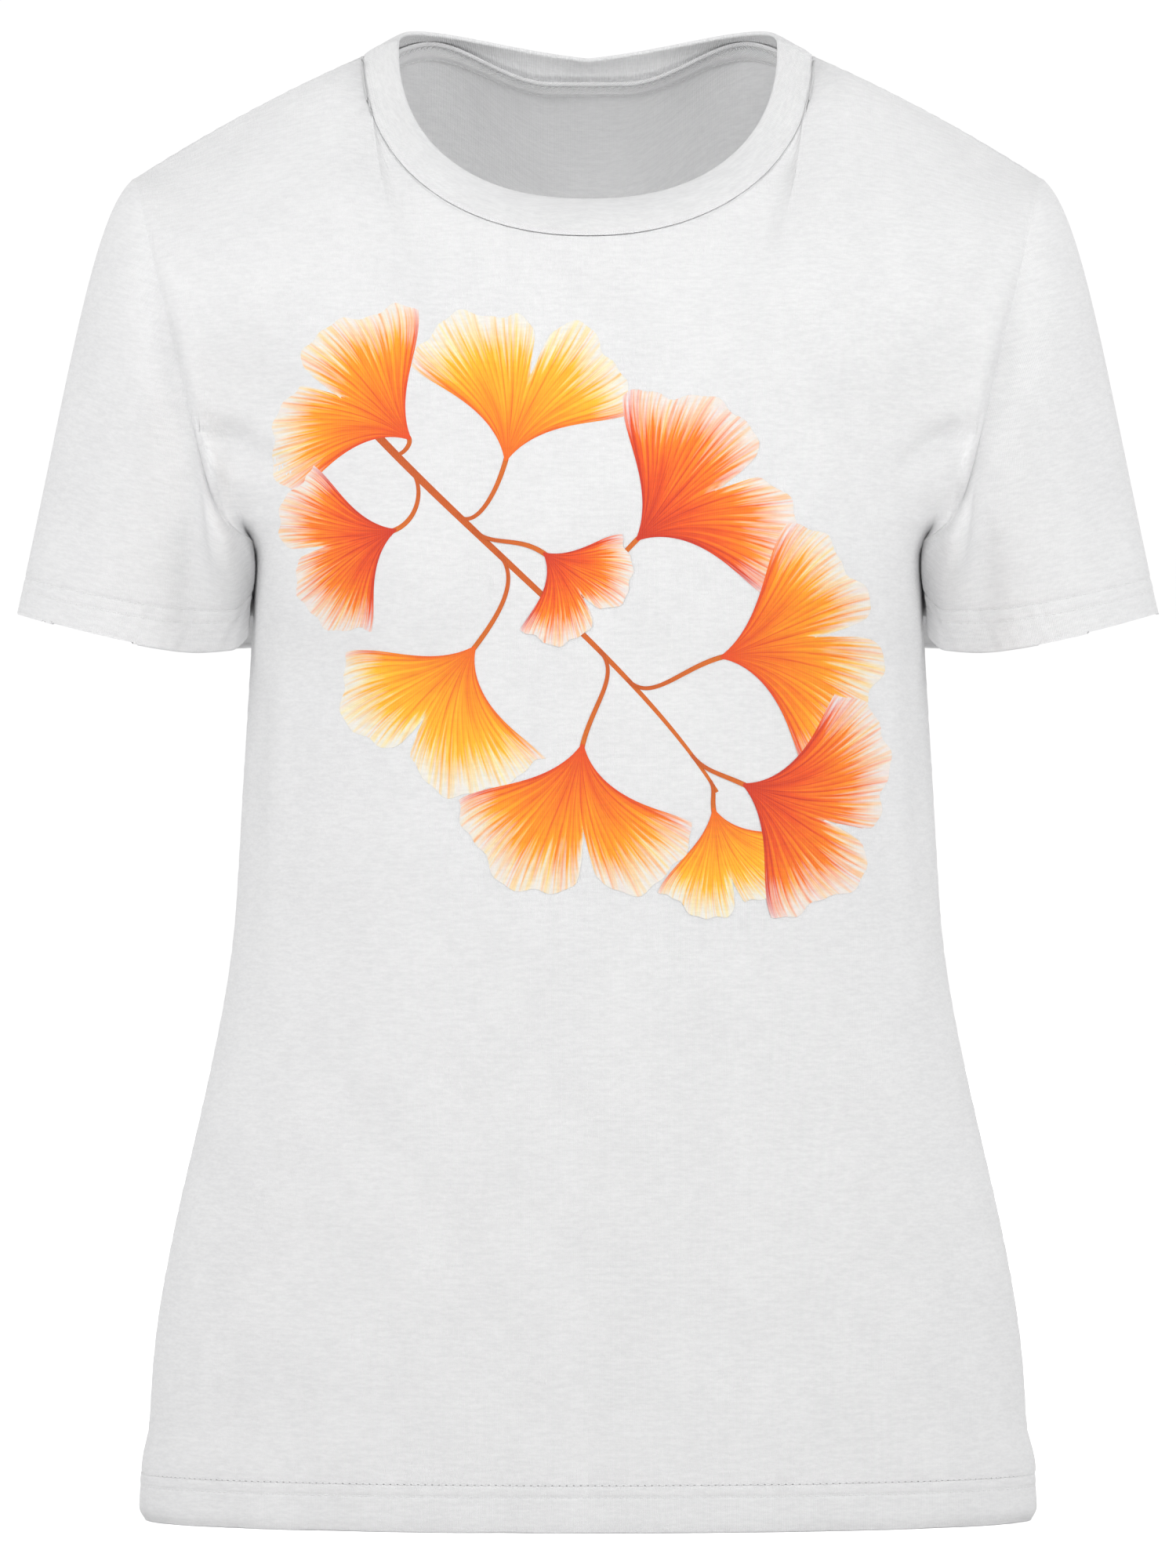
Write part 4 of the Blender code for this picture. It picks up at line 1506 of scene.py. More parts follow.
    def at(self, x: Floats, z: Floats) -> Floats:
        """Points of the panel's face at front-view positions.

        Args:
            x: across the shirt.
            z: height.

        Returns:
            The points.
        """
        rows, columns = self.face.shape[:2]
        i, j = np.meshgrid(np.arange(rows - 1), np.arange(columns - 1), indexing="ij")
        first = i * columns + j
        quads = stacked(first, first + 1, first + columns + 1, first + columns)
        points = self.face.reshape(-1, 3).tolist()
        tree = BVHTree.FromPolygons(points, quads.reshape(-1, 4).tolist())
        found = self.form.on_form(x, z, self.back)
        side = 1.0 if self.back else -1.0
        flat = found.reshape(-1, 3)
        for n, point in enumerate(flat):
            hit = tree.ray_cast((point[0], side, point[2]), (0.0, -side, 0.0))[0]
            if hit is not None:
                flat[n] = hit
        return flat.reshape(found.shape)

    def build(self, material: Material) -> Object:
        """Makes the panel."""
        cloth = Cloth(self.grid(), False, self.back, self.thickness, KnitLay.TORSO)
        return cloth.piece(self.name, material)


def hem_pucker(x: Floats, back: bool) -> Floats:
    """The small waves that the hem's stitches draw into the cloth at x."""
    return ripple(x, (0.0072, 0.0105, 0.0161), 31 if back else 30)


@dataclass
class BottomHem:
    """The turned hem round the whole shirt."""

    form: TorsoForm
    front: FoldMap
    back: FoldMap
    columns: int = 560
    fold_radius: float = 0.0009
    thickness: float = 0.0006
    rows_of_stitches: Point = (0.0157, 0.0209)
    rows: int = 36
    path_points: int = 900
    # it follows the panels' folds up to its sides, and dips at the stitches and the side seams
    side_reach: float = 0.006
    row_dip: float = 0.00030
    row_width: float = 0.0007
    between_swell: float = 0.00012
    between_width: float = 0.0025
    seam_dip: float = 0.0006
    seam_width: float = 0.0009
    # its turned layer ends a little above the joint
    turned_top_z: float = 0.0232
    turned_step: float = 1.4
    side_lean: float = 0.9

    def lift(self, points: Floats) -> Floats:
        """How far the hem stands out from the form at these points."""
        x, y, z = points[..., 0], points[..., 1], points[..., 2]
        front = self.front.lift(x, z) + SEAM.pucker * hem_pucker(x, False)
        back = self.back.lift(x, z) + SEAM.pucker * hem_pucker(x, True)
        side = smooth((self.form.side_half(z) - np.abs(x)) / self.side_reach)
        total = np.where(y < 0, front, back) * side
        total = total - HEM_DIP * near_to(HEM_JOINT_Z - z, HEM_DIP_WIDTH)
        low_row = self.rows_of_stitches[0]
        total = total - self.row_dip * near_to(z - low_row, self.row_width)
        between = (z - low_row) * (HEM_JOINT_Z - z) / self.between_width**2
        total = total + self.between_swell * clamped(between)
        return total - self.seam_dip * near_to(y, self.seam_width)

    def face(self, low: float, count: int) -> Pair:
        """The hem's face from its joint down to height low, and its normals."""
        angle = np.linspace(0.0, TAU, self.columns, endpoint=False) + math.pi
        near = HEM_JOINT_Z - JOINT_ROWS
        z = np.concatenate([near, np.linspace(near[-1], low, count)[1:]])
        aa, zz = np.meshgrid(angle, z)
        grid = self.form.hem_point(aa, zz)
        out = normals_of(grid, True, True)
        return grid + out * self.lift(grid)[..., None], out

    def build(self, material: Material) -> Object:
        """Makes the folded hem."""
        grid, out = self.face(self.fold_radius, self.rows)
        level = out * np.array([1.0, 1.0, 0.0])
        folded = turned_under(grid, unit(level), self.fold_radius, len(grid) - 1)
        top = folded[-1] + (folded[-1] - folded[-3]) * self.turned_step
        top[:, 2] = self.turned_top_z
        folded = np.concatenate([folded, top[None]])
        folded[..., 2] = np.maximum(folded[..., 2], 0.0)
        return Cloth(folded, True, True, self.thickness).piece("bottom_hem_cloth", material)

    def stitches(self, thread: Thread, material: Material) -> list[Object]:
        """The two rows of stitches outside and the looper thread inside."""
        lines, ups = thread.rings([self.path_at(z, 0.0) for z in self.rows_of_stitches])
        outside = thread.piece("bottom_hem_stitches", lines, ups, material)
        low, high = self.rows_of_stitches
        path, out = self.path_at((low + high) / 2, 2 * self.fold_radius)
        line, up = thread.zigzag(path, -out, high - low, LOOPER_PITCH, True)
        inside = thread.piece("bottom_hem_looper", [line], [up], material)
        return [outside, inside]

    def path_at(self, z: float, inside: float) -> Pair:
        """A line round the hem at height z, this far inside its face, and its normals."""
        angle = np.linspace(0.0, TAU, self.path_points, endpoint=False)
        path = self.form.hem_point(angle, z + 0.0 * angle)
        out = unit(stacked(np.sin(angle) * self.side_lean, -np.cos(angle), 0 * angle))
        return path + out * (self.lift(path)[:, None] - inside), out


@dataclass
class Sleeve:
    """One short sleeve with its turned hem; side is 1 for +X and -1 for -X."""

    form: ArmForm
    side: int
    word: str
    columns: int = 236
    rows: int = 66
    hem_columns: int = 300
    fold_radius: float = 0.0009
    thickness: float = 0.0006
    joint: float = 0.0187
    rows_of_stitches: Point = (0.0130, 0.0187)
    # the drape, and the long folds: inner dip, ridge beside it and dip behind (height, p, width)
    drape: float = 0.0005
    drape_from: float = 0.35
    inner_dip: Place = (0.0030, 2.05, 0.20)
    ridge: Place = (0.0058, 2.52, 0.30)
    behind_dip: Place = (0.0020, -2.26, 0.18)
    held: Lengths = (0.3, 1.15, 0.5)
    ridge_held: Lengths = (0.15, 0.80, 0.45)
    lift_from: float = 0.06
    # how the cloth behind the armpit lies against the body
    gap: float = 0.0016
    hug_turn: Place = (0.10, 0.95, 0.35)
    hug_from: float = 0.10
    # the seams' small waves and dips
    length_steps: int = 60
    hem_rows: int = 34
    top_waves: Lengths = (0.0068, 0.0098, 0.0131)
    hem_waves: Lengths = (0.0072, 0.0105)
    wave_hold: float = 0.001
    arm_radius: float = 0.05
    seam_dip: float = 0.0005
    seam_width: float = 0.0008
    row_dip: float = 0.00028
    row_width: float = 0.0007
    turned_step: float = 1.2

    def lift(self, p: Floats, t: Floats) -> Floats:
        """How far the folds move the sleeve's cloth outwards."""
        waves = ripple(p, (TAU / 4, TAU / 3, TAU / 2), 40 + self.side)
        drape = self.drape * waves * smooth(t / self.drape_from)
        held, ridge_held = (
            smooth(t / start) * smooth((end - t) / over)
            for start, end, over in (self.held, self.ridge_held)
        )
        inner, ridge, behind = (
            height * near_to(p - at, width)
            for height, at, width in (self.inner_dip, self.ridge, self.behind_dip)
        )
        return drape - inner * held + ridge * ridge_held - behind * held

    def mirrored(self, grid: Floats) -> Floats:
        """The +X side's points on this sleeve's own side."""
        return grid * np.array([self.side, 1.0, 1.0])

    def surface(self, p: Floats, t: Floats) -> Pair:
        """The +X side's cloth before its seams roll in, and its normals."""
        grid = self.hugging(self.form.point(p, t), p, t)
        out = normals_of(grid, True, False)
        free = smooth(t / self.lift_from)[..., None]
        return grid + out * self.lift(p, t)[..., None] * free, out

    def hugging(self, grid: Floats, p: Floats, t: Floats) -> Floats:
        """Lays the cloth behind the armpit against the body's side."""
        torso = self.form.torso
        x, y = grid[..., 0], grid[..., 1]
        level = np.minimum(grid[..., 2], torso.armpit_z - 1e-4)
        power = torso.section_power(level, True)
        behind_body = np.clip(y / torso.back_depth(level), 0.0, 0.99)
        body = torso.side_half(level) * (1.0 - behind_body**power) ** (1.0 / power)
        behind = np.abs(p) - math.pi
        near, far, over = self.hug_turn
        share = smooth(-behind / near) * smooth((behind + far) / over) * (p < 0)
        share = share * smooth(t / self.hug_from)
        moved = np.minimum(x, body + self.gap)
        grid = grid.copy()
        grid[..., 0] = x + (moved - x) * share
        return grid

    def body(self) -> Floats:
        """The sleeve above its hem, with its armhole allowance."""
        p = np.linspace(-math.pi, math.pi, self.columns, endpoint=False)
        last = self.form.t_above_edge(p, self.joint)
        steps = np.linspace(0.0, 1.0, self.length_steps)[:, None]
        length = arcs(self.form.point(p + 0.0 * steps, steps * last), axis=0)[-1]
        start = np.array(SEAM.near)[:, None] / length * last
        evenly = np.linspace(0.0, 1.0, self.rows)[1:-1, None]
        low = JOINT_ROWS[::-1, None] / length * last
        t = np.concatenate([start, start[-1] + (last - low[0] - start[-1]) * evenly, last - low])
        pp = p + 0.0 * t
        grid, out = self.surface(pp, t)
        down = arcs(grid, axis=0)
        along = arcs(grid, axis=1)
        pucker = ripple(along, self.top_waves, 8) * np.exp(-down / SEAM.pucker_reach)
        lift = SEAM.pucker * pucker * (1.0 - near_to(down, self.wave_hold))
        lift = lift - CUFF_DIP * near_to(down[-1:] - down, CUFF_DIP_WIDTH)
        lift = lift - self.underarm_dip(pp)
        lift = lift - SEAM.roll * near_to(down, SEAM.roll_width)
        grid = grid + out * lift[..., None]
        tuck = SEAM.tuck_at(self.form.torso, grid[:1, :, 2]) * smooth(2.0 * np.sin(p))
        grid[..., 1] += tuck * near_to(down, SEAM.tuck_sleeve)
        under = turned_under(grid[::-1], out[::-1], SEAM.radius, SEAM.turned)[len(grid) :]
        return np.concatenate([under[::-1], grid])

    def underarm_dip(self, p: Floats) -> Floats:
        """How far the seam under the arm dips in at p."""
        return self.seam_dip * near_to((math.pi - np.abs(p)) * self.arm_radius, self.seam_width)

    def hem_face(self) -> Pair:
        """The face of the turned hem, from its joint to where its fold begins, and its normals."""
        p = np.linspace(-math.pi, math.pi, self.hem_columns, endpoint=False)
        near = self.joint - JOINT_ROWS
        even = np.linspace(near[-1], self.fold_radius, self.hem_rows)[1:]
        levels = np.concatenate([near, even])
        t = np.stack([self.form.t_above_edge(p, level) for level in levels])
        grid, out = self.surface(p + 0.0 * t, t)
        level = levels[:, None] + 0.0 * t
        lift = -CUFF_DIP * near_to(self.joint - level, CUFF_DIP_WIDTH)
        lift = lift - self.row_dip * near_to(level - self.rows_of_stitches[0], self.row_width)
        lift = lift + SEAM.pucker * ripple(arcs(grid, axis=1), self.hem_waves, 9)
        lift = lift - self.underarm_dip(p)
        return grid + out * lift[..., None], out

    def build(self, cloth: Material) -> list[Object]:
        """Makes the sleeve and its folded hem.

        Args:
            cloth: the jersey.

        Returns:
            The sleeve and the hem.
        """
        flip = self.side < 0
        body = Cloth(self.mirrored(self.body()), True, flip, self.thickness, KnitLay.ARM)
        grid, out = self.hem_face()
        folded = turned_under(grid, out, self.fold_radius, len(grid) - 1)
        top = folded[-1] + (folded[-1] - folded[-4]) * self.turned_step
        folded = np.concatenate([folded, top[None]])
        hem = Cloth(self.mirrored(folded), True, flip, self.thickness)
        return [
            body.piece(f"{self.word}_sleeve_cloth", cloth),
            hem.piece(f"{self.word}_sleeve_hem_cloth", cloth),
        ]

    def stitches(self, thread: Thread, material: Material) -> list[Object]:
        """The rows of stitches outside and the looper thread inside."""
        grid, out = self.hem_face()
        down = self.joint - arcs(grid, axis=0)
        low, high = self.rows_of_stitches
        paths = []
        for level in (low, high, (low + high) / 2):
            row = int(np.argmin(np.abs(down.mean(axis=1) - level)))
            paths.append((self.mirrored(grid[row]), self.mirrored(out[row])))
        lines, ups = thread.rings(paths[:2])
        path, out_path = paths[2]
        inside = path - out_path * 2 * self.fold_radius
        line, up = thread.zigzag(inside, -out_path, high - low, LOOPER_PITCH, True)
        return [
            thread.piece(f"{self.word}_sleeve_stitches", lines, ups, material),
            thread.piece(f"{self.word}_sleeve_looper", [line], [up], material),
        ]


@dataclass
class Neckband:
    """The rib band, folded lengthwise and sewn to the neckline."""

    form: TorsoForm
    edge_half: float = 0.0835
    edge_side_z: float = 0.6550
    edge_power: float = 2.30
    edge_front_drop: float = 0.0740
    edge_back_drop: float = 0.0045
    edge_back_peak: float = 0.0075
    lean_front: float = 0.0070
    lean_back: float = 0.0125
    crown: float = 0.0012
    seam_dip: float = 0.00011
    seam_width: float = 0.0005
    allowance: float = 0.0022
    width: float = 0.0165
    up_lean: float = 0.8
    wave: float = 0.00010
    wave_reach: float = 0.006
    waves: Lengths = (0.0083, 0.0121, 0.0202)
    inward_lean: Point = (0.6, 0.012)
    rows: int = 16
    columns: int = 420
    fold_radius: float = 0.0010
    thickness: float = 0.0007

    def edge(self, b: Floats) -> Floats:
        """The band's open edge; at the back it peaks on either side of the nape."""
        c = squarer(np.cos(b), self.edge_power)
        turned = np.abs(np.mod(b + math.pi, TAU) - math.pi)
        past_side = clamped(turned * 2 / math.pi - 1.0)
        peak = self.edge_back_peak * np.sin(math.pi * past_side**0.75)
        behind = self.edge_back_drop * past_side - peak
        z = self.edge_side_z - np.where(c > 0, self.edge_front_drop * c, behind)
        lean = np.where(c > 0, self.lean_front, self.lean_back)
        y = self.form.neck_seam(b)[..., 1] + lean * c
        return stacked(self.edge_half * squarer(np.sin(b), self.edge_power), y, z)

    def evenly(self) -> Floats:
        """b of columns that are evenly spaced along the band."""
        dense = np.linspace(0.0, TAU, 4001)
        middle = (self.edge(dense) + self.form.neck_seam(dense)) / 2.0
        length = lengths_of(middle)
        return np.interp(np.linspace(0.0, length[-1], self.columns + 1)[:-1], length, dense)

    def point(self, b: Floats, t: Floats) -> Floats:
        """The band's face from its seam (t = 0) to its open edge (t = 1)."""
        low, high = self.form.neck_seam(b), self.edge(b)
        t = np.asarray(t)[..., None]
        out = stacked(np.sin(b), -np.cos(b), self.up_lean + 0.0 * b)
        return low + (high - low) * t + out * self.crown * 4 * t * (1.0 - t)

    def face(self) -> Pair:
        """The band's face up to where its fold begins, and its normals."""
        b = self.evenly()
        near = np.array(SEAM.near) / self.width
        even = np.linspace(near[-1], 1.0 - self.fold_radius / self.width, self.rows)[1:]
        t = np.concatenate([near, even])
        bb, tt = np.meshgrid(b, t)
        grid = self.point(bb, tt)
        out = normals_of(grid, True, False)
        up = arcs(grid, axis=0)
        wave = ripple(arcs(grid, axis=1), self.waves, 12)
        grid = grid + out * (self.wave * wave * np.exp(-up / self.wave_reach))[..., None]
        edge = grid[0]
        sideways, down = self.inward_lean
        inward = unit(stacked(-sideways * edge[:, 0], -edge[:, 1], 0 * b - down))
        grid = grid + inward * (self.seam_dip * near_to(up, self.seam_width))[..., None]
        self.inward = inward
        return grid, out

    def build(self, material: Material) -> Object:
        """Makes the folded band with its allowance inside."""
        grid, out = self.face()
        grid = np.concatenate([(grid[0] + self.inward * self.allowance)[None], grid])
        out = np.concatenate([out[:1], out])
        folded = turned_under(grid, out, self.fold_radius, len(grid) - 2)
        return Cloth(folded, True, False, self.thickness).piece("neckband_rib", material)


@dataclass
class NeckTape:
    """The twill tape that covers the back neck's seam inside."""

    panel: Panel
    width: float = 0.0078
    drop: float = -0.0030
    thickness: float = 0.0007
    inset: float = 0.0024
    low_inset: float = 0.00108
    crown: float = 0.0006
    bead: float = 0.0015
    bead_at: float = 0.11
    groove_at: float = 2.1
    groove_width: float = 0.06
    thin_from: float = 0.62
    reach: float = 0.985
    end_power: int = 14
    end_drop: float = 0.004
    end_inset: float = 0.0010
    grid_size: tuple[int, int] = (37, 150)
    sewn_at: Point = (0.36, 0.88)
    sewn_points: int = 400
    zigzag: Point = (0.0022, 0.0030)

    def strip(self, shares: Floats, count: int) -> Pair:
        """Points over the tape's face and its normals, which point into the shirt.

        Args:
            shares: positions across the tape, 0 at its top edge and 1 at its lower edge.
            count: of points along it.

        Returns:
            The points and the normals.
        """
        form = self.panel.form
        u = np.linspace(-1.0, 1.0, count) * form.neck_share * self.reach
        x, top = form.top_of_column(u, True)
        xx, ss = np.meshgrid(x, shares)
        ends = (np.abs(xx) / form.neck_half) ** self.end_power
        z = top[None] - self.drop * (1.0 - ends) - self.end_drop * ends - self.width * ss
        on_cloth = form.raised(form.on_form(xx, z, back=True), xx, top[None])
        out = normals_of(on_cloth, False, True)
        thinner = (ss - self.thin_from) / (1.0 - self.thin_from)
        flat = self.crown * (1.0 - clamped(thinner) ** 3)
        bead = np.sqrt(clamped(1.0 - ((ss - self.bead_at) / self.bead_at) ** 2))
        groove = 1.0 - near_to(ss - self.groove_at * self.bead_at, self.groove_width)
        crown = np.maximum(flat * groove, self.bead * bead)
        inset = self.inset - (self.inset - self.low_inset) * smooth(thinner)
        inset = inset + self.end_inset * ends
        return on_cloth + out * (inset + crown)[..., None], out

    def build(self, material: Material) -> Object:
        """Makes the tape."""
        rows, columns = self.grid_size
        grid, _ = self.strip(np.linspace(0.0, 1.0, rows), columns)
        return Cloth(grid, False, True, self.thickness).piece("neck_tape_twill", material)

    def stitches(self, thread: Thread, material: Material) -> Object:
        """A zigzag along the tape's top and a straight row along its lower edge."""
        grid, out = self.strip(np.array(self.sewn_at), self.sewn_points)
        line, up = thread.zigzag(grid[0], out[0], *self.zigzag, False)
        lines, ups = thread.row(grid[1], out[1], False)
        return thread.piece("neck_tape_stitches", [line, *lines], [up, *ups], material)


# --- The printed leaves ---
@dataclass(frozen=True)
class FanLeaf:
    """One fan-shaped leaf of the print, on a thin stalk that leaves the branch.

    Attributes:
        at: where its stalk leaves the branch, 0 to 1.
        base: front-view point where the stalk meets the leaf.
        heading: degrees from upright, clockwise as seen from the front.
        length: from its base to its rim.
        spread: degrees between its edges.
        shade: name of its ink.
        cleft: depth of the notch in its rim, as a share of the length.
        seed: picks the waves of its rim.
    """

    at: float
    base: Point
    heading: float
    length: float
    spread: float
    shade: str
    cleft: float = 0.30
    seed: int = 1

    @property
    def onwards(self) -> Floats:
        """Direction from the base to the middle of the rim."""
        turn = math.radians(self.heading)
        return np.array([math.sin(turn), math.cos(turn)])

    def outline(self, side: Floats, out: Floats) -> Pair:
        """Front-view positions of the leaf.

        Args:
            side: -1 to 1 from edge to edge.
            out: 0 to 1 from the stalk to the rim.

        Returns:
            x and z.
        """
        rng = np.random.default_rng(self.seed)
        phases = rng.uniform(0.0, TAU, 4)
        rim = 1.0 - 0.10 * side**4
        for (height, often), phase in zip(((0.035, 7.0), (0.022, 15.0), (0.010, 34.0)), phases):
            rim = rim + height * np.sin(often * side + phase)
        at = 0.12 * math.sin(float(phases[3]))
        for depth, width in ((1.0, 0.035), (0.35, 0.13)):
            rim = rim - depth * self.cleft * near_to(side - at, width)
        radius = self.length * out * (1.0 + (rim - 1.0) * out**2)
        open_to = math.radians(self.spread) / 2 * (0.30 + 0.70 * np.sin(math.pi / 2 * out) ** 0.8)
        bend = 0.18 * math.sin(float(phases[2])) * out
        angle = math.radians(self.heading) + side * open_to + bend
        return self.base[0] + radius * np.sin(angle), self.base[1] + radius * np.cos(angle)


@dataclass
class LeafPrint:
    """The spray of leaves, laid as thin films of ink over the chest."""

    panel: Panel
    leaves: tuple[FanLeaf, ...]
    branch: tuple[Point, ...]
    film: float = 0.00006
    lift: float = 0.00004
    layer: float = 0.000015
    branch_points: int = 90
    branch_widths: Point = (0.0036, 0.0014)
    stalk_points: int = 50
    stalk_widths: Point = (0.0015, 0.0022)
    stalk_pull: Point = (0.35, 0.45)
    stalk_into_leaf: float = 0.003
    leaf_grid: tuple[int, int] = (121, 36)
    leaf_start: float = 0.02

    def film_piece(
        self, name: str, x: Floats, z: Floats, leaf_map: Floats, layer: int, material: Material
    ) -> Object:
        """A film of ink over the chest.

        Args:
            name: of the piece.
            x: front-view positions, rows x columns.
            z: their heights.
            leaf_map: side and out of every point.
            layer: its place in the stack of inks.
            material: its ink.

        Returns:
            The piece.
        """
        on_cloth = self.panel.at(x, z)
        outwards = normals_of(on_cloth, False, False)
        flip = bool(outwards[..., 1].mean() > 0)
        outwards = -outwards if flip else outwards
        grid = on_cloth + outwards * (self.lift + self.layer * layer)
        cloth = Cloth(grid, False, flip, self.film)
        obj = cloth.piece(name, material)
        _, place_of = cloth.faces()
        maps = obj.data.uv_layers
        maps.new(name="leaf")
        for key, flat in (("leaf", leaf_map), ("cloth", stacked(x, z))):
            table = np.concatenate([flat.reshape(-1, 2)] * 2)
            maps[key].data.foreach_set("uv", table[place_of.ravel()].astype(np.float32).ravel())
        return obj

    def build(self, inks: dict[str, Material]) -> list[Object]:
        """Makes the stalks and the leaves.

        Args:
            inks: the ink of each shade.

        Returns:
            The pieces.
        """
        line = self.along_branch(np.linspace(0.0, 1.0, self.branch_points))
        branch = self.ribbon(line, *self.branch_widths)
        pieces = [self.film_piece("print_branch", *branch, 0, inks["stalk"])]
        columns, rows = self.leaf_grid
        across, outwards = np.linspace(-1.0, 1.0, columns), np.linspace(self.leaf_start, 1.0, rows)
        side, out = np.meshgrid(across, outwards)
        leaf_map = stacked(side, out)
        for number, leaf in enumerate(self.leaves):
            stalk = self.ribbon(self.stalk(leaf), *self.stalk_widths)
            name, layer = f"print_stalk_{number}", 2 * number + 1
            pieces.append(self.film_piece(name, *stalk, layer, inks["stalk"]))
            x, z = leaf.outline(side, out)
            name, ink = f"print_leaf_{number}", inks[leaf.shade]
            pieces.append(self.film_piece(name, x, z, leaf_map, layer + 1, ink))
        return pieces

    def along_branch(self, t: Floats) -> Floats:
        """Front-view points of the branch, t = 0 at its cut end."""
        places = np.array(self.branch)
        knots = np.linspace(0.0, 1.0, len(places))
        powers = np.polynomial.polynomial.polyfit(knots, places, len(places) - 1)
        return np.polynomial.polynomial.polyval(t, powers).T

    def stalk(self, leaf: FanLeaf) -> Floats:
        """The stalk's line: it leaves along the branch and arrives in the leaf's direction."""
        step = 0.01
        start, ahead = self.along_branch(np.array([leaf.at, leaf.at + step]))
        end = np.array(leaf.base) + leaf.onwards * self.stalk_into_leaf
        reach = float(np.linalg.norm(end - start))
        first = start + unit(ahead - start) * reach * self.stalk_pull[0]
        second = end - leaf.onwards * reach * self.stalk_pull[1]
        t = np.linspace(0.0, 1.0, self.stalk_points)[:, None]
        s = 1.0 - t
        return s**3 * start + 3 * s * s * t * first + 3 * s * t * t * second + t**3 * end

    @staticmethod
    def ribbon(line: Floats, start: float, end: float) -> tuple[Floats, Floats, Floats]:
        """A smooth tapered ribbon along a line of the front view.

        Args:
            line: its points.
            start: its width at the first.
            end: its width at the last.

        Returns:
            x, z and the leaf map of its grid.
        """
        t = np.linspace(0.0, 1.0, len(line))
        run = unit(np.gradient(line, axis=0))
        across = stacked(run[:, 1], -run[:, 0])
        width = (start + (end - start) * t) / 2
        side = np.linspace(-1.0, 1.0, 5)
        grid = line[:, None] + across[:, None] * (width[:, None] * side[None])[..., None]
        zeros = 0.0 * t[:, None] + 0.0 * side[None]
        leaf_map = stacked(zeros + side[None] * 0.9, zeros + 0.25 + 0.2 * t[:, None])
        return grid[..., 0], grid[..., 1], leaf_map


LEAVES = (
    FanLeaf(0.10, (-0.076, 0.474), -46, 0.062, 116, "amber", 0.34, 3),
    FanLeaf(0.14, (-0.082, 0.436), -108, 0.052, 112, "flame", 0.26, 5),
    FanLeaf(0.26, (-0.036, 0.464), 14, 0.067, 112, "gold", 0.30, 4),
    FanLeaf(0.36, (-0.048, 0.386), -142, 0.064, 118, "gold", 0.30, 7),
    FanLeaf(0.48, (0.020, 0.430), 46, 0.070, 116, "flame", 0.28, 6),
    FanLeaf(0.62, (-0.002, 0.344), -168, 0.068, 118, "amber", 0.32, 9),
    FanLeaf(0.70, (0.056, 0.380), 76, 0.072, 116, "amber", 0.30, 8),
    FanLeaf(0.97, (0.054, 0.316), 168, 0.048, 108, "gold", 0.24, 13),
    FanLeaf(0.90, (0.066, 0.326), 116, 0.066, 120, "flame", 0.32, 10),
    FanLeaf(0.30, (-0.020, 0.426), 128, 0.040, 118, "flame", 0.26, 15),
)
BRANCH = ((-0.100, 0.486), (-0.044, 0.430), (0.012, 0.376), (0.056, 0.322))

FLAME = ((0.62, 0.026, 0.002), (0.88, 0.085, 0.002), (0.98, 0.24, 0.004), (1.0, 0.50, 0.06))
AMBER = ((0.80, 0.060, 0.002), (0.96, 0.19, 0.002), (1.0, 0.37, 0.006), (1.0, 0.66, 0.12))
GOLD = ((0.88, 0.13, 0.002), (1.0, 0.32, 0.004), (1.0, 0.53, 0.018), (1.0, 0.80, 0.27))
STALK = ((0.45, 0.05, 0.004), (0.66, 0.12, 0.004), (0.85, 0.28, 0.01), (0.95, 0.5, 0.05))
INKS = {
    "flame": InkFinish("ink_flame", *FLAME),
    "amber": InkFinish("ink_amber", *AMBER),
    "gold": InkFinish("ink_gold", *GOLD),
    "stalk": InkFinish("ink_stalk", *STALK, reach=2.0),
}


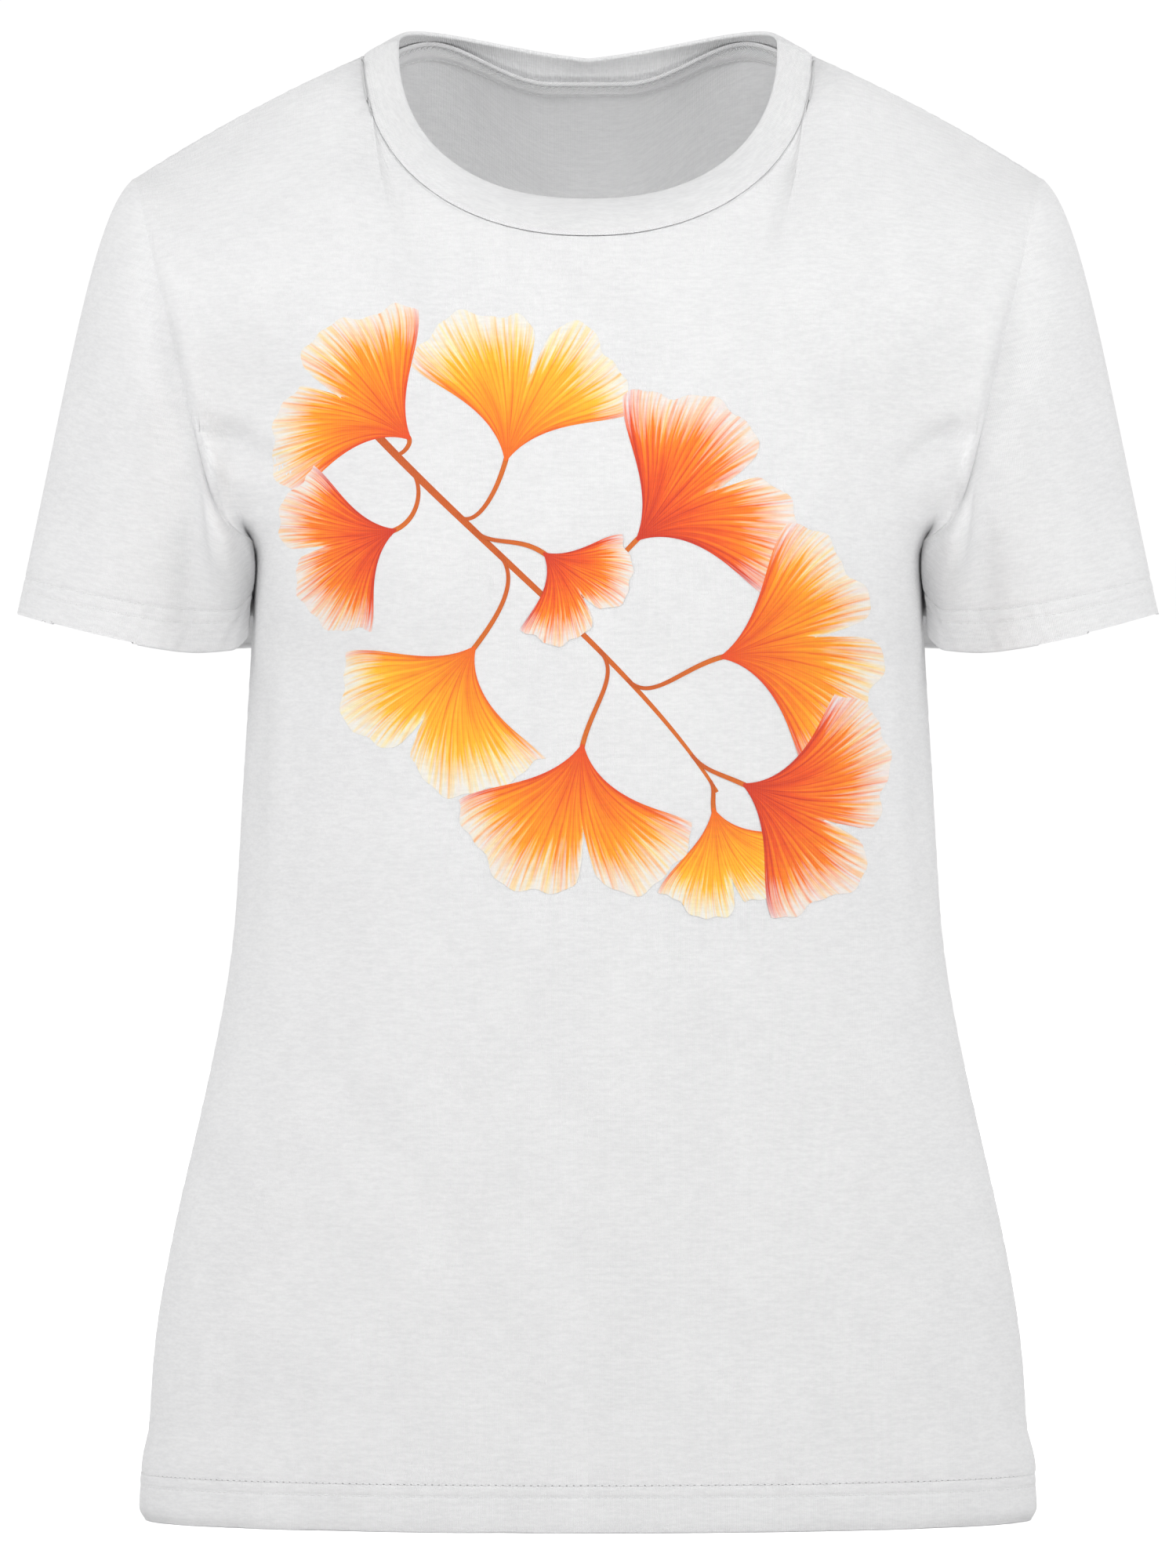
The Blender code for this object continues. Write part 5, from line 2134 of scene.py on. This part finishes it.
# --- The studio ---
@dataclass
class Studio:
    """The camera, a plain white floor and soft light."""

    distance: float = 5.0
    eye_z: float = 0.3255
    lens: float = 259.38
    sensor: float = 36.0
    floor_half: float = 8.0
    floor_squares: int = 8
    floor_reach: Point = (0.30, 1.50)
    floor_pale: Point = (0.75, 0.90)
    floor_glow: float = 0.66
    ambient: float = 0.962
    overhead: float = 0.71
    overhead_from: float = 0.2
    backdrop: float = 1.02
    key_power: float = 6.4
    chest_power: float = 1.2
    side_power: float = 14.0
    fill_power: float = 0.076

    def camera(self) -> None:
        """Makes the camera, level with the shirt's middle and square to its front."""
        data = bpy.data.cameras.new("camera")
        data.lens, data.sensor_width = self.lens, self.sensor
        data.clip_end = 100.0
        obj = bpy.data.objects.new("camera", data)
        obj.location = (0.0, -self.distance, self.eye_z)
        obj.rotation_euler = (math.pi / 2, 0.0, 0.0)
        bpy.context.scene.collection.objects.link(obj)
        bpy.context.scene.camera = obj

    def floor(self) -> None:
        """Makes the floor, a little darker round the shirt."""
        count = self.floor_squares
        steps = np.linspace(-self.floor_half, self.floor_half, count + 1)
        xx, yy = np.meshgrid(steps, steps)
        points = stacked(xx, yy, 0 * xx).reshape(-1, 3)
        i, j = np.meshgrid(np.arange(count), np.arange(count), indexing="ij")
        first = i * (count + 1) + j
        faces = stacked(first, first + 1, first + count + 2, first + count + 1)
        mesh = bpy.data.meshes.new("studio_floor")
        mesh.from_pydata(points.tolist(), [], faces.reshape(-1, 4).tolist())
        material, nodes, shader = start_material("studio_white")
        place_at = nodes.add("ShaderNodeNewGeometry").outputs["Position"]
        away = nodes.add("ShaderNodeVectorMath", {"operation": "LENGTH"}, Vector=place_at)
        pale = nodes.spread(away.outputs["Value"], *self.floor_reach, *self.floor_pale)
        nodes.feed(shader.inputs["Base Color"], nodes.grey(pale))
        shader.inputs["Roughness"].default_value = 1.0
        shader.inputs["Specular IOR Level"].default_value = 0.0
        shader.inputs["Emission Color"].default_value = WHITE
        seen = nodes.add("ShaderNodeLightPath").outputs["Is Camera Ray"]
        glow = nodes.spread(seen, 0.0, 1.0, 0.0, self.floor_glow)
        nodes.feed(shader.inputs["Emission Strength"], glow)
        mesh.materials.append(material)
        obj = bpy.data.objects.new("studio_floor", mesh)
        bpy.context.scene.collection.objects.link(obj)

    def lights(self) -> None:
        """A white surround, dimmer overhead, soft lamps round the front and a fill inside."""
        world = bpy.data.worlds.new("studio_surround")
        world.use_nodes = True
        nodes = Nodes(world.node_tree)
        background = world.node_tree.nodes["Background"]
        seen = nodes.add("ShaderNodeLightPath").outputs["Is Camera Ray"]
        toward = nodes.add("ShaderNodeTexCoord").outputs["Generated"]
        up = nodes.add("ShaderNodeSeparateXYZ", Vector=toward).outputs[2]
        around = nodes.spread(up, self.overhead_from, 1.0, self.ambient, self.overhead)
        plain = nodes.math("MULTIPLY", seen, self.backdrop)
        nodes.feed(background.inputs["Strength"], nodes.math("MAXIMUM", around, plain))
        background.inputs["Color"].default_value = WHITE
        bpy.context.scene.world = world
        chest, nape = (0.0, 0.0, 0.45), (0.0, 0.08, 0.60)
        self.lamp("soft_key", (0.0, -2.7, 1.5), chest, (2.2, 1.4), self.key_power)
        self.lamp("soft_chest", (0.0, -1.0, 0.95), chest, (0.7, 0.5), self.chest_power)
        for name, x in (("soft_left", -2.6), ("soft_right", 2.6)):
            self.lamp(name, (x, -1.6, 1.1), chest, (1.2, 1.6), self.side_power)
        self.lamp("inner_fill", (0.0, -0.02, 0.51), nape, (0.10, 0.07), self.fill_power)

    @staticmethod
    def lamp(name: str, at: Place, aim: Place, size: Point, power: float) -> None:
        """Makes one soft rectangular light that the camera doesn't see.

        Args:
            name: of the light.
            at: where it stands.
            aim: the point that it faces.
            size: width and height.
            power: in watts.
        """
        data = bpy.data.lights.new(name, "AREA")
        data.shape, data.size, data.size_y = "RECTANGLE", *size
        data.energy = power
        obj = bpy.data.objects.new(name, data)
        obj.location = at
        facing = Vector(aim) - Vector(at)
        obj.rotation_euler = facing.to_track_quat("-Z", "Y").to_euler()
        obj.visible_camera = False
        bpy.context.scene.collection.objects.link(obj)

    def build(self) -> None:
        """Sets up the whole studio."""
        self.camera()
        self.floor()
        self.lights()
        bpy.context.scene.view_settings.view_transform = "Standard"


# --- The shirt ---
def dress(obj: Object, slot: str, *nodes: str) -> Object:
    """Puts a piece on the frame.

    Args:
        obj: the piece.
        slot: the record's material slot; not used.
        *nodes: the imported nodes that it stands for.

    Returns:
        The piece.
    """
    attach(obj, ROOT)
    if nodes:
        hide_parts(*nodes)
    LOG.info("%s: %d faces", obj.name, len(obj.data.polygons))
    return obj


def main() -> None:
    """Builds the studio and then the shirt, piece by piece."""
    logging.basicConfig(level=logging.INFO, format="%(message)s")
    Studio().build()
    effects = Effects()
    jersey = KnitFinish("jersey_white").material(effects)
    rib = KnitFinish("neck_rib_white", KnitKind.RIB, bump=0.00030).material(effects)
    tape = TapeFinish().material(effects)
    thread_white = ThreadFinish().material()
    inks = {shade: ink.material(effects) for shade, ink in INKS.items()}
    torso = TorsoForm()
    thread = Thread()

    front_panel = Panel("front_panel_cloth", False, torso, FRONT_FOLDS)
    back_panel = Panel("back_panel_cloth", True, torso, BACK_FOLDS)
    front = dress(front_panel.build(jersey), "jersey", "front_panel")
    back = dress(back_panel.build(jersey), "jersey", "back_panel")
    hem_maker = BottomHem(torso, FRONT_FOLDS, BACK_FOLDS)
    hem = dress(hem_maker.build(jersey), "jersey", "bottom_hem")
    hem_threads = [dress(t, "sewing_thread") for t in hem_maker.stitches(thread, thread_white)]

    band_maker = Neckband(torso)
    band = dress(band_maker.build(rib), "neck_rib", "neckband")
    tape_maker = NeckTape(back_panel)
    tape_piece = dress(tape_maker.build(tape), "neck_tape", "neck_tape")
    tape_threads = dress(tape_maker.stitches(thread, thread_white), "sewing_thread")

    for side, word in ((1, "left"), (-1, "right")):
        sleeve = Sleeve(ArmForm(torso), side, word)
        body, cuff = sleeve.build(jersey)
        dress(body, "jersey", f"{word}_sleeve")
        dress(cuff, "jersey", f"{word}_sleeve_hem")
        threads = [dress(t, "sewing_thread") for t in sleeve.stitches(thread, thread_white)]

    prints = LeafPrint(front_panel, LEAVES, BRANCH).build(inks)
    for piece in prints:
        dress(piece, "print_ink")


if __name__ == "__main__":
    main()
